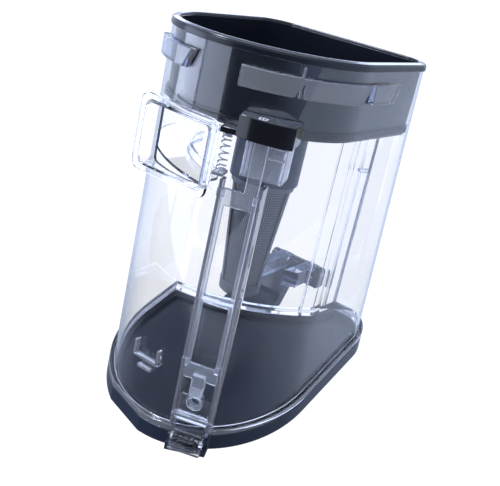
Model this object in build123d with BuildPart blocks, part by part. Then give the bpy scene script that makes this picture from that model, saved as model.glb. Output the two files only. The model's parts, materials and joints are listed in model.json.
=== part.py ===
from build123d import *
from math import atan2, cos, degrees, radians, sin
import os

# Cyclone dust bin of an upright cleaner, standing on its slanted bottom door.
# The bin's own axis leans back; every plane below is placed from that leaning frame.

# Stance and overall plan (millimetres, degrees)
LEAN = 20.0
HEIGHT = 283.0
BASE_RADIUS = 88.0
MOUTH_RADIUS = BASE_RADIUS - 7.0
BASE_CENTRE = -10.0
MOUTH_CENTRE = -21.0
BASE_BACK = BASE_RADIUS + 4.0
MOUTH_BACK = BASE_BACK - 4.0
REAR_CORNER = 26.0
REACH = 60.0

# Clear moulding
WALL = 2.4
BODY_TOP = HEIGHT - 6.0
TRAY_FLOOR = BODY_TOP - 53.0
SHELF_Z = TRAY_FLOOR - 10.0
FLANGE_OUT = 4.0
FLANGE_THICK = 4.5
SEAT_GAP = 0.1
MOVE_GAP = 0.4
FLAT_ANGLE = -14.0
FLAT_OUT = BASE_RADIUS + 10.9

# Rear recess that leaves room for the hinge
RECESS_LEFT = (-100.0, 28.0)
RECESS_BULGE = (-25.0, 41.0)
RECESS_CORNER = (39.0, 73.0)
LOBE_SLANT = 28.0
LOBE_RIBS = (8.4, 19.0)
LOBE_RIB_OUT = 3.0
LOBE_WEB_DROP = 34.0
RECESS_FIN = 0.925

# Bottom door
DOOR_DEPTH = 12.0
DOOR_FLOOR = 4.0
DOOR_FLOOR_TOP = 9.0
DOOR_GAP = 0.3
SEAL_WIDTH = 5.0
SEAL_LIP = 0.5
RIB_THICK = 2.0

# Hinge behind the recess
HINGE_Y = BASE_BACK + 6.0
HINGE_Z = 70.0
HINGE_PIN = 2.5
HINGE_FIT = 0.06
KNUCKLE_RADIUS = 7.0
KNUCKLE_WIDTH = 12.0
KNUCKLE_SPAN = 30.0
BARREL_END = 7.0
ARM_WIDTH = 44.0
ARM_SHIFT = -23.0
ARM_THICK = 5.0

# Release column on the front wall
COLUMN_ANGLE = 21.0
COLUMN_OUT = BASE_RADIUS + 11.0
COLUMN_SHIFT = 6.0
CHANNEL_HALF = 13.6
CHEEK = 2.4
CHEEK_OUT = 9.0
COLUMN_ROOT = 14.0
CHEEK_BOTTOM = -14.0
CHANNEL_TOP = TRAY_FLOOR - 35.0

# Latch lever
LATCH_HALF = 13.0
LATCH_TOP = 18.0
LATCH_BOTTOM = -31.6
LATCH_IN = 7.4
LATCH_THICK = 2.8
LATCH_PLATE = 1.6
LATCH_RIB = 2.0
BAR_Z = -16.5
PIVOT_Z = -2.0
PIVOT_OUT = 6.0
PIVOT_PIN = 1.5
PIVOT_FIT = 0.05
HUB_RADIUS = 3.6
TOE_BOTTOM = -29.4
TOE_TIP = 1.4
TOE_IN = 3.2
TOE_SLOPE = 0.42
GRIP_COUNT = 5
GRIP_PITCH = 4.4
GRIP_WIDE = 3.8
GRIP_TALL = 9.0
GRIP_WALL = 0.7
SEAT_WALL = 1.2

# Catch on the door
CATCH_HALF = 16.6
CATCH_OUT = 6.8

# Push rod
ROD_IN = 4.4
ROD_THICK = 3.4
RAIL = 3.2
ROD_BOTTOM = 18.6
WEDGE = 6.2
WEDGE_LIP = 2.4
NOSE_OUT = 10.6
STEM_HALF = 5.0
STEM_SHIFT = 7.5
TRAVEL = 6.0

# Release button and its housing
BUTTON_SHIFT = 10.0
BUTTON_WIDTH = 40.0
BUTTON_TOP = TRAY_FLOOR + 14.0
BUTTON_DEEP = 16.0
BUTTON_OUT = 15.0
BUTTON_BOW = 4.0
BUTTON_WALL = 2.2
HOUSING_TOP = BUTTON_TOP - 11.0
HOUSING_DEEP = 31.0
HOUSING_STEP = 7.5
SPRING_U = -17.0
SPRING_OUT = 8.0
SPRING_RADIUS = 3.1
SPRING_WIRE = 0.5
SPRING_FOOT = CHANNEL_TOP + 5.0
SPRING_PITCH = 3.0
SPRING_EDGE = 2.0
LATCH_SPRING = 4.3
SPRING_BOSS = 0.8

# Inlet port
PORT_ANGLE = -5.0
PORT_OUT = BASE_RADIUS + 19.0
PORT_SHIFT = -7.0
PORT_Z = TRAY_FLOOR - 24.5
PORT_WIDTH = 76.0
PORT_HEIGHT = 58.0
PORT_BORDER = 6.5
PORT_FLANGE = 3.0
PORT_CORNER = 7.0
DUCT_WALL = 2.2
DUCT_REACH = 70.0
RAMP_Z = PORT_Z - 20.5
RAMP_TILT = 9.0
RAMP_INNER = 52.0

# Filter tray
TRAY_WALL = 2.2
TRAY_GAP = 0.6
TRAY_TAPER = 1.2
RIM_OUT = 1.4
RIM_SEAL = 2.2
TRAY_SEAL_Z = TRAY_FLOOR + 3.0
TRAY_SEAL_TALL = 4.0

# Separator cone
COLLAR_RADIUS = 28.5
COLLAR_WALL = 2.4
COLLAR_BOTTOM = TRAY_FLOOR - 56.0
COLLAR_FLANGE = 37.0
COLLAR_FLANGE_THICK = 3.0
CONE_TOP_RADIUS = 26.5
CONE_END_RADIUS = 17.5
CONE_END = COLLAR_BOTTOM - 96.0
CAGE_WALL = 1.6
CAGE_RING = 5.0
CAGE_RIBS = 6
CAGE_RIB = 3.4
MESH_THICK = 0.6
CAP_DEEP = 6.0
SCREW_CIRCLE = 33.0
SCREW_SHANK = 1.5
SCREW_HEAD = 3.0

# Lugs and brackets moulded on the outside
LUG_Z = BODY_TOP - 16.0
LUG_TALL = 14.0
LUG_OUT = 5.0
LUG_SLANT = 62.0
FIN_ANGLE = 38.0
FIN_WIDE = 1.6
LUGS = ((-86.0, 46.0), (-25.0, 62.0), (27.0, 46.0), (56.0, 58.0), (92.0, 42.0))
POCKET_ANGLE = -2.0
POCKET_SHIFT = -3.5
POCKET_Z = 32.0
POCKET_WIDE = 26.0
POCKET_TALL = 13.5
POCKET_OUT = BASE_RADIUS + 14.5

BIN = Plane(origin=(0, 0, 0), x_dir=(1, 0, 0), z_dir=(0, sin(radians(LEAN)), cos(radians(LEAN))))
SIDE = Plane(origin=(0, 0, 0), x_dir=BIN.y_dir, z_dir=BIN.x_dir)

# The wall from the recess corner to the back: local x runs forward along it, local z faces the recess
lobe_run = Vector(LOBE_SLANT, REACH, 0).normalized()
LOBE = Plane(
    origin=BIN.from_local_coords(Vector(*RECESS_CORNER)),
    x_dir=BIN.from_local_coords(lobe_run * -1),
    z_dir=BIN.from_local_coords(Vector(-lobe_run.Y, lobe_run.X, 0)),
)


def level(z):
    """A plane square to the bin's axis, at height z along it."""
    return BIN.offset(z)


def upright(angle, out, shift=0.0):
    """A plane facing outward at an angle from the front; local x runs right, local y up the axis."""
    normal = Vector(sin(radians(angle)), -cos(radians(angle)), 0)
    along = Vector(cos(radians(angle)), sin(radians(angle)), 0)
    origin = BIN.from_local_coords(normal * out + along * shift)
    return Plane(origin=origin, x_dir=BIN.from_local_coords(along), z_dir=BIN.from_local_coords(normal))


COLUMN = upright(COLUMN_ANGLE, COLUMN_OUT, COLUMN_SHIFT)
PORT = upright(PORT_ANGLE, PORT_OUT, PORT_SHIFT)
ACROSS = Plane(COLUMN.origin, BIN.z_dir, COLUMN.x_dir)


def column_plan(z):
    """The column seen from above at height z; local y runs outward and extrusion goes down."""
    return Plane(origin=COLUMN.from_local_coords((0, z, 0)), x_dir=COLUMN.x_dir, z_dir=-BIN.z_dir)


def between(low, high, z):
    """A size that changes evenly from the base to the mouth."""
    return low + (high - low) * z / HEIGHT


def d_outline(z, grow):
    """The D-shaped plan at height z, grown outward by a set amount."""
    radius = between(BASE_RADIUS, MOUTH_RADIUS, z) + grow
    centre = between(BASE_CENTRE, MOUTH_CENTRE, z)
    back = between(BASE_BACK, MOUTH_BACK, z) + grow
    with BuildLine() as edge:
        CenterArc((0, centre), radius, 180, 180)
        FilletPolyline(
            (radius, centre), (radius, back), (-radius, back), (-radius, centre), radius=REAR_CORNER + grow
        )
    make_face(edge.edges())


def d_block(z_low, z_high, grow, grow_high=None, mode=Mode.ADD):
    """The D-shaped block between two heights."""
    with BuildSketch(level(z_low)) as low:
        d_outline(z_low, grow)
    with BuildSketch(level(z_high)) as high:
        d_outline(z_high, grow if grow_high is None else grow_high)
    loft(sections=[low.sketch, high.sketch], ruled=True, mode=mode)


def cut_recess(z_top, grow):
    """Take the rear recess out of the part being built, with its walls moved by a set amount."""
    lobe = (RECESS_CORNER[0] + LOBE_SLANT, RECESS_CORNER[1] + REACH)
    with BuildSketch(level(-REACH)) as recess:
        with BuildLine():
            ThreePointArc(RECESS_LEFT, RECESS_BULGE, RECESS_CORNER)
            Polyline(RECESS_CORNER, lobe, (RECESS_LEFT[0] - REACH, lobe[1]),
                     (RECESS_LEFT[0] - REACH, RECESS_LEFT[1]), RECESS_LEFT)
        make_face()
        if grow:
            offset(amount=grow, kind=Kind.INTERSECTION)
    extrude(recess.sketch, amount=z_top + REACH, mode=Mode.SUBTRACT)


def bin_slice(grow, low, high):
    """A level slice of the bin's lower plan, between two heights above the table."""
    d_block(-REACH, SHELF_Z, grow)
    cut_recess(SHELF_Z + REACH, -grow)
    with BuildSketch(Plane.XY.offset(low)) as cover:
        Rectangle(3 * HEIGHT, 3 * HEIGHT)
    extrude(cover.sketch, amount=high - low, mode=Mode.INTERSECT)


def column_box(u_low, u_high, z_low, z_high, w_low, w_high, mode=Mode.ADD):
    """A block on the release column: across, up the axis, and outward."""
    with BuildSketch(COLUMN.offset(w_low)) as face:
        with Locations(((u_low + u_high) / 2, (z_low + z_high) / 2)):
            Rectangle(u_high - u_low, z_high - z_low)
    extrude(face.sketch, amount=w_high - w_low, mode=mode)


# Hollow inside of the bin, used to open up the mouldings
with BuildPart() as chamber:
    d_block(-REACH, HEIGHT + REACH, -WALL)
    cut_recess(SHELF_Z + WALL, WALL)

# Whole outside of the bin, used to trim what sits against the wall
with BuildPart() as outside:
    d_block(-REACH, HEIGHT + REACH, SEAT_GAP)

# Lid lugs round the collar
with BuildPart() as lugs:
    for angle, width in LUGS:
        with BuildSketch(upright(angle, REACH)):
            with Locations((0, LUG_Z)):
                Trapezoid(width, LUG_TALL, LUG_SLANT, 90, rotation=180)
        extrude(amount=REACH)
    # Stiffening fin between the front lugs
    with BuildSketch(upright(FIN_ANGLE, REACH)):
        with Locations((0, LUG_Z + LUG_TALL / 4)):
            Rectangle(FIN_WIDE, 1.5 * LUG_TALL)
    extrude(amount=REACH)
    d_block(SHELF_Z, BODY_TOP, LUG_OUT, mode=Mode.INTERSECT)

# Flat cut across the front left of the foot
with BuildPart() as front_flat:
    with BuildSketch(upright(FLAT_ANGLE, FLAT_OUT)):
        Rectangle(2 * REACH, 4 * REACH)
    extrude(amount=REACH)

# Foot flange that meets the door
with BuildPart() as foot:
    bin_slice(FLANGE_OUT, DOOR_DEPTH + DOOR_GAP, DOOR_DEPTH + DOOR_GAP + FLANGE_THICK)
    add(front_flat.part, mode=Mode.SUBTRACT)

# Place of the single rib on the curved recess wall
recess_wall = ThreePointArc(RECESS_LEFT, RECESS_BULGE, RECESS_CORNER)
fin_place = recess_wall @ RECESS_FIN
fin_along = recess_wall % RECESS_FIN
fin_turn = degrees(atan2(fin_along.Y, fin_along.X))

# Clear bin body
with BuildPart() as bin_body:
    d_block(-REACH, BODY_TOP, 0)
    cut_recess(SHELF_Z, 0)
    # Ribs down the recess, with a web that ties the rear pair under the shelf
    with BuildSketch(LOBE.offset(-WALL / 2)):
        for along in LOBE_RIBS:
            with Locations((-along, (SHELF_Z - REACH) / 2)):
                Rectangle(FIN_WIDE, SHELF_Z + REACH)
    extrude(amount=WALL / 2 + LOBE_RIB_OUT)
    with BuildSketch(LOBE.offset(-WALL / 2)):
        with Locations((-sum(LOBE_RIBS) / 2, SHELF_Z - LOBE_WEB_DROP)):
            Rectangle(LOBE_RIBS[1] - LOBE_RIBS[0], WALL)
    extrude(amount=WALL / 2 + 2 * LOBE_RIB_OUT)
    with BuildSketch(level(-REACH)):
        with Locations((fin_place.X, fin_place.Y)):
            Rectangle(FIN_WIDE, 2 * (WALL / 2 + LOBE_RIB_OUT), rotation=fin_turn)
    extrude(amount=SHELF_Z + REACH)
    with BuildSketch(Plane.XY.offset(DOOR_DEPTH + DOOR_GAP)):
        Rectangle(3 * HEIGHT, 3 * HEIGHT)
    extrude(amount=2 * HEIGHT, mode=Mode.INTERSECT)
    add(foot.part)
    add(lugs.part)
    # Side walls of the release channel
    for side in (-1, 1):
        rib = side * (CHANNEL_HALF + CHEEK / 2)
        column_box(rib - CHEEK / 2, rib + CHEEK / 2, CHEEK_BOTTOM, CHANNEL_TOP, -COLUMN_ROOT, CHEEK_OUT)
        tab = side * (CHANNEL_HALF - RAIL / 2 + CHEEK / 2)
        for z in (LATCH_TOP + 4 * TRAVEL, CHANNEL_TOP - 2 * TRAVEL):
            column_box(tab - RAIL / 2 - CHEEK / 2, tab + RAIL / 2 + CHEEK / 2, z, z + TRAVEL,
                       ROD_IN + ROD_THICK + MOVE_GAP, CHEEK_OUT + CHEEK)
    # Ledge under the button spring
    column_box(SPRING_U - SPRING_RADIUS - SPRING_EDGE, -CHANNEL_HALF, SPRING_FOOT - CHEEK, SPRING_FOOT,
               -COLUMN_ROOT, SPRING_OUT + SPRING_RADIUS + SPRING_EDGE)
    # Boss behind the latch spring
    with BuildSketch(COLUMN.offset(-COLUMN_ROOT)):
        with Locations((0, LATCH_TOP - 2 * SPRING_RADIUS)):
            Circle(LATCH_SPRING + SPRING_WIRE)
    extrude(amount=COLUMN_ROOT + SPRING_BOSS)
    # Small U-shaped pocket low on the front
    with BuildSketch(upright(POCKET_ANGLE, REACH, POCKET_SHIFT)):
        with Locations((0, POCKET_Z)):
            Rectangle(POCKET_WIDE, POCKET_TALL)
        with Locations((0, POCKET_Z + CHEEK)):
            Rectangle(POCKET_WIDE - 2 * CHEEK, POCKET_TALL, mode=Mode.SUBTRACT)
        with Locations((0, POCKET_Z - POCKET_TALL)):
            Rectangle(POCKET_TALL, CHEEK)
    extrude(amount=POCKET_OUT - REACH)
    # Hinge knuckles
    for side in (-1, 1):
        with BuildSketch(SIDE.offset(side * KNUCKLE_SPAN / 2 - KNUCKLE_WIDTH / 2)):
            with Locations((HINGE_Y, HINGE_Z)):
                Circle(KNUCKLE_RADIUS)
            with Locations(((RECESS_BULGE[1] + HINGE_Y) / 2, HINGE_Z)):
                Rectangle(HINGE_Y - RECESS_BULGE[1], 2 * KNUCKLE_RADIUS)
        extrude(amount=KNUCKLE_WIDTH)
    with BuildSketch(SIDE.offset(-KNUCKLE_SPAN)):
        with Locations((HINGE_Y, HINGE_Z)):
            Circle(HINGE_PIN + HINGE_FIT)
    extrude(amount=2 * KNUCKLE_SPAN, mode=Mode.SUBTRACT)
    # Pivot holes for the latch
    with BuildSketch(ACROSS.offset(-2 * CHANNEL_HALF)):
        with Locations((PIVOT_Z, PIVOT_OUT)):
            Circle(PIVOT_PIN + PIVOT_FIT)
    extrude(amount=4 * CHANNEL_HALF, mode=Mode.SUBTRACT)
    add(chamber.part, mode=Mode.SUBTRACT)
    # Opening behind the inlet port
    with BuildSketch(PORT):
        with Locations((0, PORT_Z)):
            RectangleRounded(PORT_WIDTH - 2 * PORT_BORDER, PORT_HEIGHT - 2 * PORT_BORDER, WALL)
    extrude(amount=-DUCT_REACH, mode=Mode.SUBTRACT)
bin_body.part.label = "bin_body"

# Inlet duct with its square flange, moulded against the front wall
with BuildPart() as inlet_duct:
    with BuildSketch(PORT):
        with Locations((0, PORT_Z)):
            RectangleRounded(PORT_WIDTH, PORT_HEIGHT, PORT_CORNER)
    extrude(amount=-PORT_FLANGE)
    with BuildSketch(PORT):
        with Locations((0, PORT_Z)):
            RectangleRounded(PORT_WIDTH - 2 * PORT_BORDER + 2 * DUCT_WALL,
                             PORT_HEIGHT - 2 * PORT_BORDER + 2 * DUCT_WALL, PORT_BORDER)
    extrude(amount=-DUCT_REACH)
    with BuildSketch(PORT):
        with Locations((0, PORT_Z)):
            RectangleRounded(PORT_WIDTH - 2 * PORT_BORDER, PORT_HEIGHT - 2 * PORT_BORDER,
                             PORT_BORDER - DUCT_WALL)
    extrude(amount=-DUCT_REACH, mode=Mode.SUBTRACT)
    add(outside.part, mode=Mode.SUBTRACT)
inlet_duct.part.label = "inlet_duct"

# Sloping ramp inside the inlet that starts the air turning
ramp_plane = level(RAMP_Z).rotated((0, RAMP_TILT, 0))
with BuildPart() as ramp_room:
    d_block(-REACH, HEIGHT + REACH, -WALL - SEAT_GAP)
with BuildPart() as inlet_ramp:
    with BuildSketch(ramp_plane):
        with Locations((0, MOUTH_CENTRE)):
            Circle(2 * RAMP_INNER)
            Circle(RAMP_INNER, mode=Mode.SUBTRACT)
        with Locations((-RAMP_INNER + DUCT_WALL, MOUTH_CENTRE - RAMP_INNER)):
            Rectangle(2 * RAMP_INNER, 2 * RAMP_INNER, mode=Mode.INTERSECT)
    extrude(amount=-DUCT_WALL)
    with BuildSketch(ramp_plane):
        with Locations((0, MOUTH_CENTRE)):
            Circle(RAMP_INNER + DUCT_WALL)
            Circle(RAMP_INNER, mode=Mode.SUBTRACT)
        with Locations((-RAMP_INNER + DUCT_WALL, MOUTH_CENTRE - RAMP_INNER)):
            Rectangle(2 * RAMP_INNER, 2 * RAMP_INNER, mode=Mode.INTERSECT)
    extrude(amount=PORT_BORDER)
    add(ramp_room.part, mode=Mode.INTERSECT)
inlet_ramp.part.label = "inlet_ramp"

# Filter tray that drops into the mouth
tray_grow = -WALL - TRAY_GAP
tray_foot = tray_grow - TRAY_TAPER - (BASE_RADIUS - MOUTH_RADIUS) * (BODY_TOP - TRAY_FLOOR) / HEIGHT
with BuildPart() as filter_tray:
    d_block(TRAY_FLOOR, BODY_TOP, tray_foot, tray_grow)
    d_block(BODY_TOP, HEIGHT - RIM_SEAL, RIM_OUT)
    d_block(TRAY_FLOOR + TRAY_WALL, HEIGHT, tray_foot - TRAY_WALL, tray_grow - TRAY_WALL,
            mode=Mode.SUBTRACT)
    with BuildSketch(level(TRAY_FLOOR)):
        Circle(COLLAR_RADIUS - COLLAR_WALL)
        with PolarLocations(SCREW_CIRCLE, 3):
            Circle(SCREW_SHANK + SEAT_GAP)
    extrude(amount=TRAY_WALL, mode=Mode.SUBTRACT)
    # Handling rib across the floor and a ring that centres the filter
    with BuildSketch(level(TRAY_FLOOR + TRAY_WALL)):
        Circle(COLLAR_FLANGE + 2 * TRAY_WALL)
        Circle(COLLAR_FLANGE + TRAY_WALL, mode=Mode.SUBTRACT)
    extrude(amount=4 * TRAY_WALL)
filter_tray.part.label = "filter_tray"

# Rubber seal on the tray's rim
with BuildPart() as mouth_seal:
    d_block(HEIGHT - RIM_SEAL, HEIGHT, RIM_OUT - SEAL_LIP)
    d_block(HEIGHT - RIM_SEAL, HEIGHT, tray_grow - TRAY_WALL + SEAL_LIP, mode=Mode.SUBTRACT)
mouth_seal.part.label = "mouth_seal"

# Rubber seal round the foot of the tray
with BuildPart() as tray_seal:
    d_block(TRAY_SEAL_Z, TRAY_SEAL_Z + TRAY_SEAL_TALL, -WALL - SEAT_GAP)
    d_block(TRAY_FLOOR, BODY_TOP, tray_foot + SEAT_GAP, tray_grow + SEAT_GAP, mode=Mode.SUBTRACT)
tray_seal.part.label = "tray_seal"

# Collar that carries the separator cone under the tray
with BuildPart() as cone_collar:
    with BuildSketch(level(COLLAR_BOTTOM)):
        Circle(COLLAR_RADIUS)
    extrude(amount=TRAY_FLOOR - COLLAR_BOTTOM)
    with BuildSketch(level(TRAY_FLOOR)):
        Circle(COLLAR_FLANGE)
    extrude(amount=-COLLAR_FLANGE_THICK)
    with BuildSketch(level(TRAY_FLOOR)):
        with PolarLocations(SCREW_CIRCLE, 3):
            Circle(SCREW_HEAD)
    extrude(amount=-3 * COLLAR_FLANGE_THICK)
    with BuildSketch(level(COLLAR_BOTTOM)):
        Circle(COLLAR_RADIUS - COLLAR_WALL)
    extrude(amount=TRAY_FLOOR - COLLAR_BOTTOM, mode=Mode.SUBTRACT)
    with BuildSketch(level(TRAY_FLOOR)):
        with PolarLocations(SCREW_CIRCLE, 3):
            Circle(SCREW_SHANK + SEAT_GAP)
    extrude(amount=-2.5 * COLLAR_FLANGE_THICK, mode=Mode.SUBTRACT)
cone_collar.part.label = "cone_collar"

# Ribbed cage of the cone, with a spigot inside the collar
slope = (CONE_TOP_RADIUS - CONE_END_RADIUS) / (COLLAR_BOTTOM - CONE_END)
cage_in = COLLAR_RADIUS - COLLAR_WALL - SEAT_GAP
with BuildPart() as cone_frame:
    with BuildSketch(SIDE):
        with BuildLine():
            Polyline((CONE_END_RADIUS, CONE_END), (CONE_TOP_RADIUS, COLLAR_BOTTOM),
                     (cage_in, COLLAR_BOTTOM), (cage_in, COLLAR_BOTTOM + CAGE_RING),
                     (CONE_TOP_RADIUS - 2 * CAGE_WALL, COLLAR_BOTTOM + CAGE_RING),
                     (CONE_TOP_RADIUS - CAGE_WALL, COLLAR_BOTTOM),
                     (CONE_END_RADIUS - CAGE_WALL, CONE_END), close=True)
        make_face()
    revolve(axis=Axis((0, 0, 0), tuple(BIN.z_dir)))
    low_half = (CONE_END_RADIUS + slope * CAGE_RING) * sin(radians(180 / CAGE_RIBS)) - CAGE_RIB / 2
    high_half = (CONE_TOP_RADIUS - slope * CAGE_RING) * sin(radians(180 / CAGE_RIBS)) - CAGE_RIB / 2
    for rib in range(CAGE_RIBS):
        with BuildSketch(upright(360 / CAGE_RIBS * rib, 0)):
            Polygon((-low_half, CONE_END + CAGE_RING), (low_half, CONE_END + CAGE_RING),
                    (high_half, COLLAR_BOTTOM - CAGE_RING), (-high_half, COLLAR_BOTTOM - CAGE_RING),
                    align=None)
        extrude(amount=REACH, mode=Mode.SUBTRACT)
cone_frame.part.label = "cone_frame"

# Fine mesh sleeve inside the cage
with BuildPart() as cone_mesh:
    mesh_low = CONE_END_RADIUS - CAGE_WALL - 2 * SEAT_GAP
    mesh_high = CONE_TOP_RADIUS - CAGE_WALL - 2 * SEAT_GAP
    with BuildSketch(SIDE):
        Polygon((mesh_low, CONE_END), (mesh_high, COLLAR_BOTTOM - SEAL_LIP),
                (mesh_high - MESH_THICK, COLLAR_BOTTOM - SEAL_LIP), (mesh_low - MESH_THICK, CONE_END),
                align=None)
    revolve(axis=Axis((0, 0, 0), tuple(BIN.z_dir)))
cone_mesh.part.label = "cone_mesh"

# Closed cap on the cone's tip
with BuildPart() as cone_cap:
    with BuildSketch(level(CONE_END)):
        Circle(CONE_END_RADIUS)
    extrude(amount=-CAP_DEEP)
    tip_edge = cone_cap.edges().filter_by(GeomType.CIRCLE).sort_by(Axis((0, 0, 0), tuple(BIN.z_dir)))[0]
    chamfer(tip_edge, CAP_DEEP / 3)
    with BuildSketch(level(CONE_END)):
        Circle(mesh_low - MESH_THICK - SEAT_GAP)
        Circle(mesh_low - MESH_THICK - SEAT_GAP - CAGE_WALL, mode=Mode.SUBTRACT)
    extrude(amount=CAGE_RING)
cone_cap.part.label = "cone_cap"

# Three screws that hold the collar to the tray
with BuildPart() as cone_screws:
    with BuildSketch(level(TRAY_FLOOR + TRAY_WALL)):
        with PolarLocations(SCREW_CIRCLE, 3):
            Circle(SCREW_HEAD)
    extrude(amount=TRAY_WALL)
    with BuildSketch(level(TRAY_FLOOR + TRAY_WALL)):
        with PolarLocations(SCREW_CIRCLE, 3):
            Circle(SCREW_SHANK)
    extrude(amount=-TRAY_WALL - 2 * COLLAR_FLANGE_THICK)
    with BuildSketch(level(TRAY_FLOOR + 2 * TRAY_WALL)):
        with PolarLocations(SCREW_CIRCLE, 3):
            Rectangle(SCREW_HEAD, SEAL_LIP)
            Rectangle(SEAL_LIP, SCREW_HEAD)
    extrude(amount=-SEAL_LIP * 2, mode=Mode.SUBTRACT)
cone_screws.part.label = "cone_screws"

# Bottom door with its rim, ribs, catch and hinge arm
with BuildPart() as door_rim_inside:
    bin_slice(MOVE_GAP, DOOR_FLOOR_TOP, DOOR_DEPTH)
with BuildPart() as door_floor_below:
    bin_slice(0, 0, DOOR_FLOOR)
with BuildPart() as door_ribs:
    bin_slice(0, 0, DOOR_FLOOR)
    with BuildSketch(Plane.XY):
        with GridLocations(2 * REAR_CORNER, 0, 3, 1):
            Rectangle(RIB_THICK, HEIGHT)
        with GridLocations(0, 2 * REAR_CORNER, 1, 3):
            Rectangle(HEIGHT, RIB_THICK)
    extrude(amount=DOOR_FLOOR, mode=Mode.INTERSECT)
with BuildPart() as catch:
    column_box(-CATCH_HALF, CATCH_HALF, LATCH_BOTTOM - REACH, LATCH_TOP, -COLUMN_ROOT, CATCH_OUT)
    with BuildSketch(Plane.XY):
        Rectangle(3 * HEIGHT, 3 * HEIGHT)
    extrude(amount=DOOR_DEPTH, mode=Mode.INTERSECT)
rise = sin(radians(LEAN)) / cos(radians(LEAN))
arm_front = RECESS_CORNER[1] + FLANGE_OUT + MOVE_GAP
arm_back = arm_front + ARM_THICK
arm_top = HINGE_Z - KNUCKLE_RADIUS - 2 * MOVE_GAP
barrel = KNUCKLE_RADIUS - SEAL_LIP
with BuildPart() as door:
    bin_slice(FLANGE_OUT, 0, DOOR_DEPTH)
    add(front_flat.part, mode=Mode.SUBTRACT)
    add(door_rim_inside.part, mode=Mode.SUBTRACT)
    add(door_floor_below.part, mode=Mode.SUBTRACT)
    add(door_ribs.part)
    # Tongue behind the rim and the arm that climbs to the hinge
    tongue_top = DOOR_FLOOR_TOP / cos(radians(LEAN))
    with BuildSketch(SIDE.offset(ARM_SHIFT - ARM_WIDTH / 2)):
        Polygon((RECESS_LEFT[1], RECESS_LEFT[1] * rise), (arm_back, arm_back * rise),
                (arm_back, arm_front * rise + tongue_top), (arm_front, arm_front * rise + tongue_top),
                (RECESS_LEFT[1], RECESS_LEFT[1] * rise + tongue_top), align=None)
        Polygon((arm_front, arm_front * rise), (arm_back, arm_front * rise),
                (HINGE_Y + KNUCKLE_RADIUS, arm_top), (HINGE_Y - ARM_THICK, arm_top),
                (arm_front, arm_front * rise + 3 * ARM_THICK), align=None)
    extrude(amount=ARM_WIDTH)
    # Barrel in three lengths, between and outside the clear knuckles
    inner = KNUCKLE_SPAN - KNUCKLE_WIDTH - 2 * MOVE_GAP
    outer = KNUCKLE_SPAN / 2 + KNUCKLE_WIDTH / 2 + MOVE_GAP
    for start, length in ((-inner / 2, inner), (outer, BARREL_END), (-outer - BARREL_END, BARREL_END)):
        with BuildSketch(SIDE.offset(start)):
            with Locations((HINGE_Y, HINGE_Z)):
                Circle(barrel)
            with Locations((HINGE_Y, HINGE_Z - (KNUCKLE_RADIUS + ARM_THICK) / 2)):
                Rectangle(2 * barrel, KNUCKLE_RADIUS + ARM_THICK)
        extrude(amount=length)
    with BuildSketch(SIDE.offset(-outer - BARREL_END)):
        with Locations((HINGE_Y, arm_top - ARM_THICK / 2)):
            Rectangle(2 * barrel, ARM_THICK)
    extrude(amount=2 * (outer + BARREL_END))
    with BuildSketch(SIDE.offset(-2 * KNUCKLE_SPAN)):
        with Locations((HINGE_Y, HINGE_Z)):
            Circle(HINGE_PIN + HINGE_FIT)
    extrude(amount=4 * KNUCKLE_SPAN, mode=Mode.SUBTRACT)
    # Catch at the front, with a groove for the latch toe
    add(catch.part)
    add(door_rim_inside.part, mode=Mode.SUBTRACT)
    groove_top = TOE_BOTTOM + TOE_TIP + MOVE_GAP
    with BuildSketch(ACROSS.offset(-2 * CATCH_HALF)):
        Polygon((TOE_BOTTOM - MOVE_GAP, CATCH_OUT + REACH), (TOE_BOTTOM - MOVE_GAP, TOE_IN - MOVE_GAP),
                (groove_top, TOE_IN - MOVE_GAP), (groove_top + REACH / TOE_SLOPE, TOE_IN - MOVE_GAP + REACH),
                align=None)
    extrude(amount=4 * CATCH_HALF, mode=Mode.SUBTRACT)
door.part.label = "door"

# Rubber seal lying on the door's floor
with BuildPart() as seal_hole:
    bin_slice(-WALL - SEAL_WIDTH, 0, 2 * DOOR_DEPTH)
with BuildPart() as door_seal:
    bin_slice(-MOVE_GAP, DOOR_FLOOR_TOP, DOOR_DEPTH + SEAT_GAP)
    add(seal_hole.part, mode=Mode.SUBTRACT)
door_seal.part.label = "door_seal"

# Steel hinge pin
with BuildPart() as hinge_pin:
    with BuildSketch(SIDE.offset(-outer - BARREL_END)):
        with Locations((HINGE_Y, HINGE_Z)):
            Circle(HINGE_PIN)
    extrude(amount=2 * (outer + BARREL_END))
hinge_pin.part.label = "hinge_pin"

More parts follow.
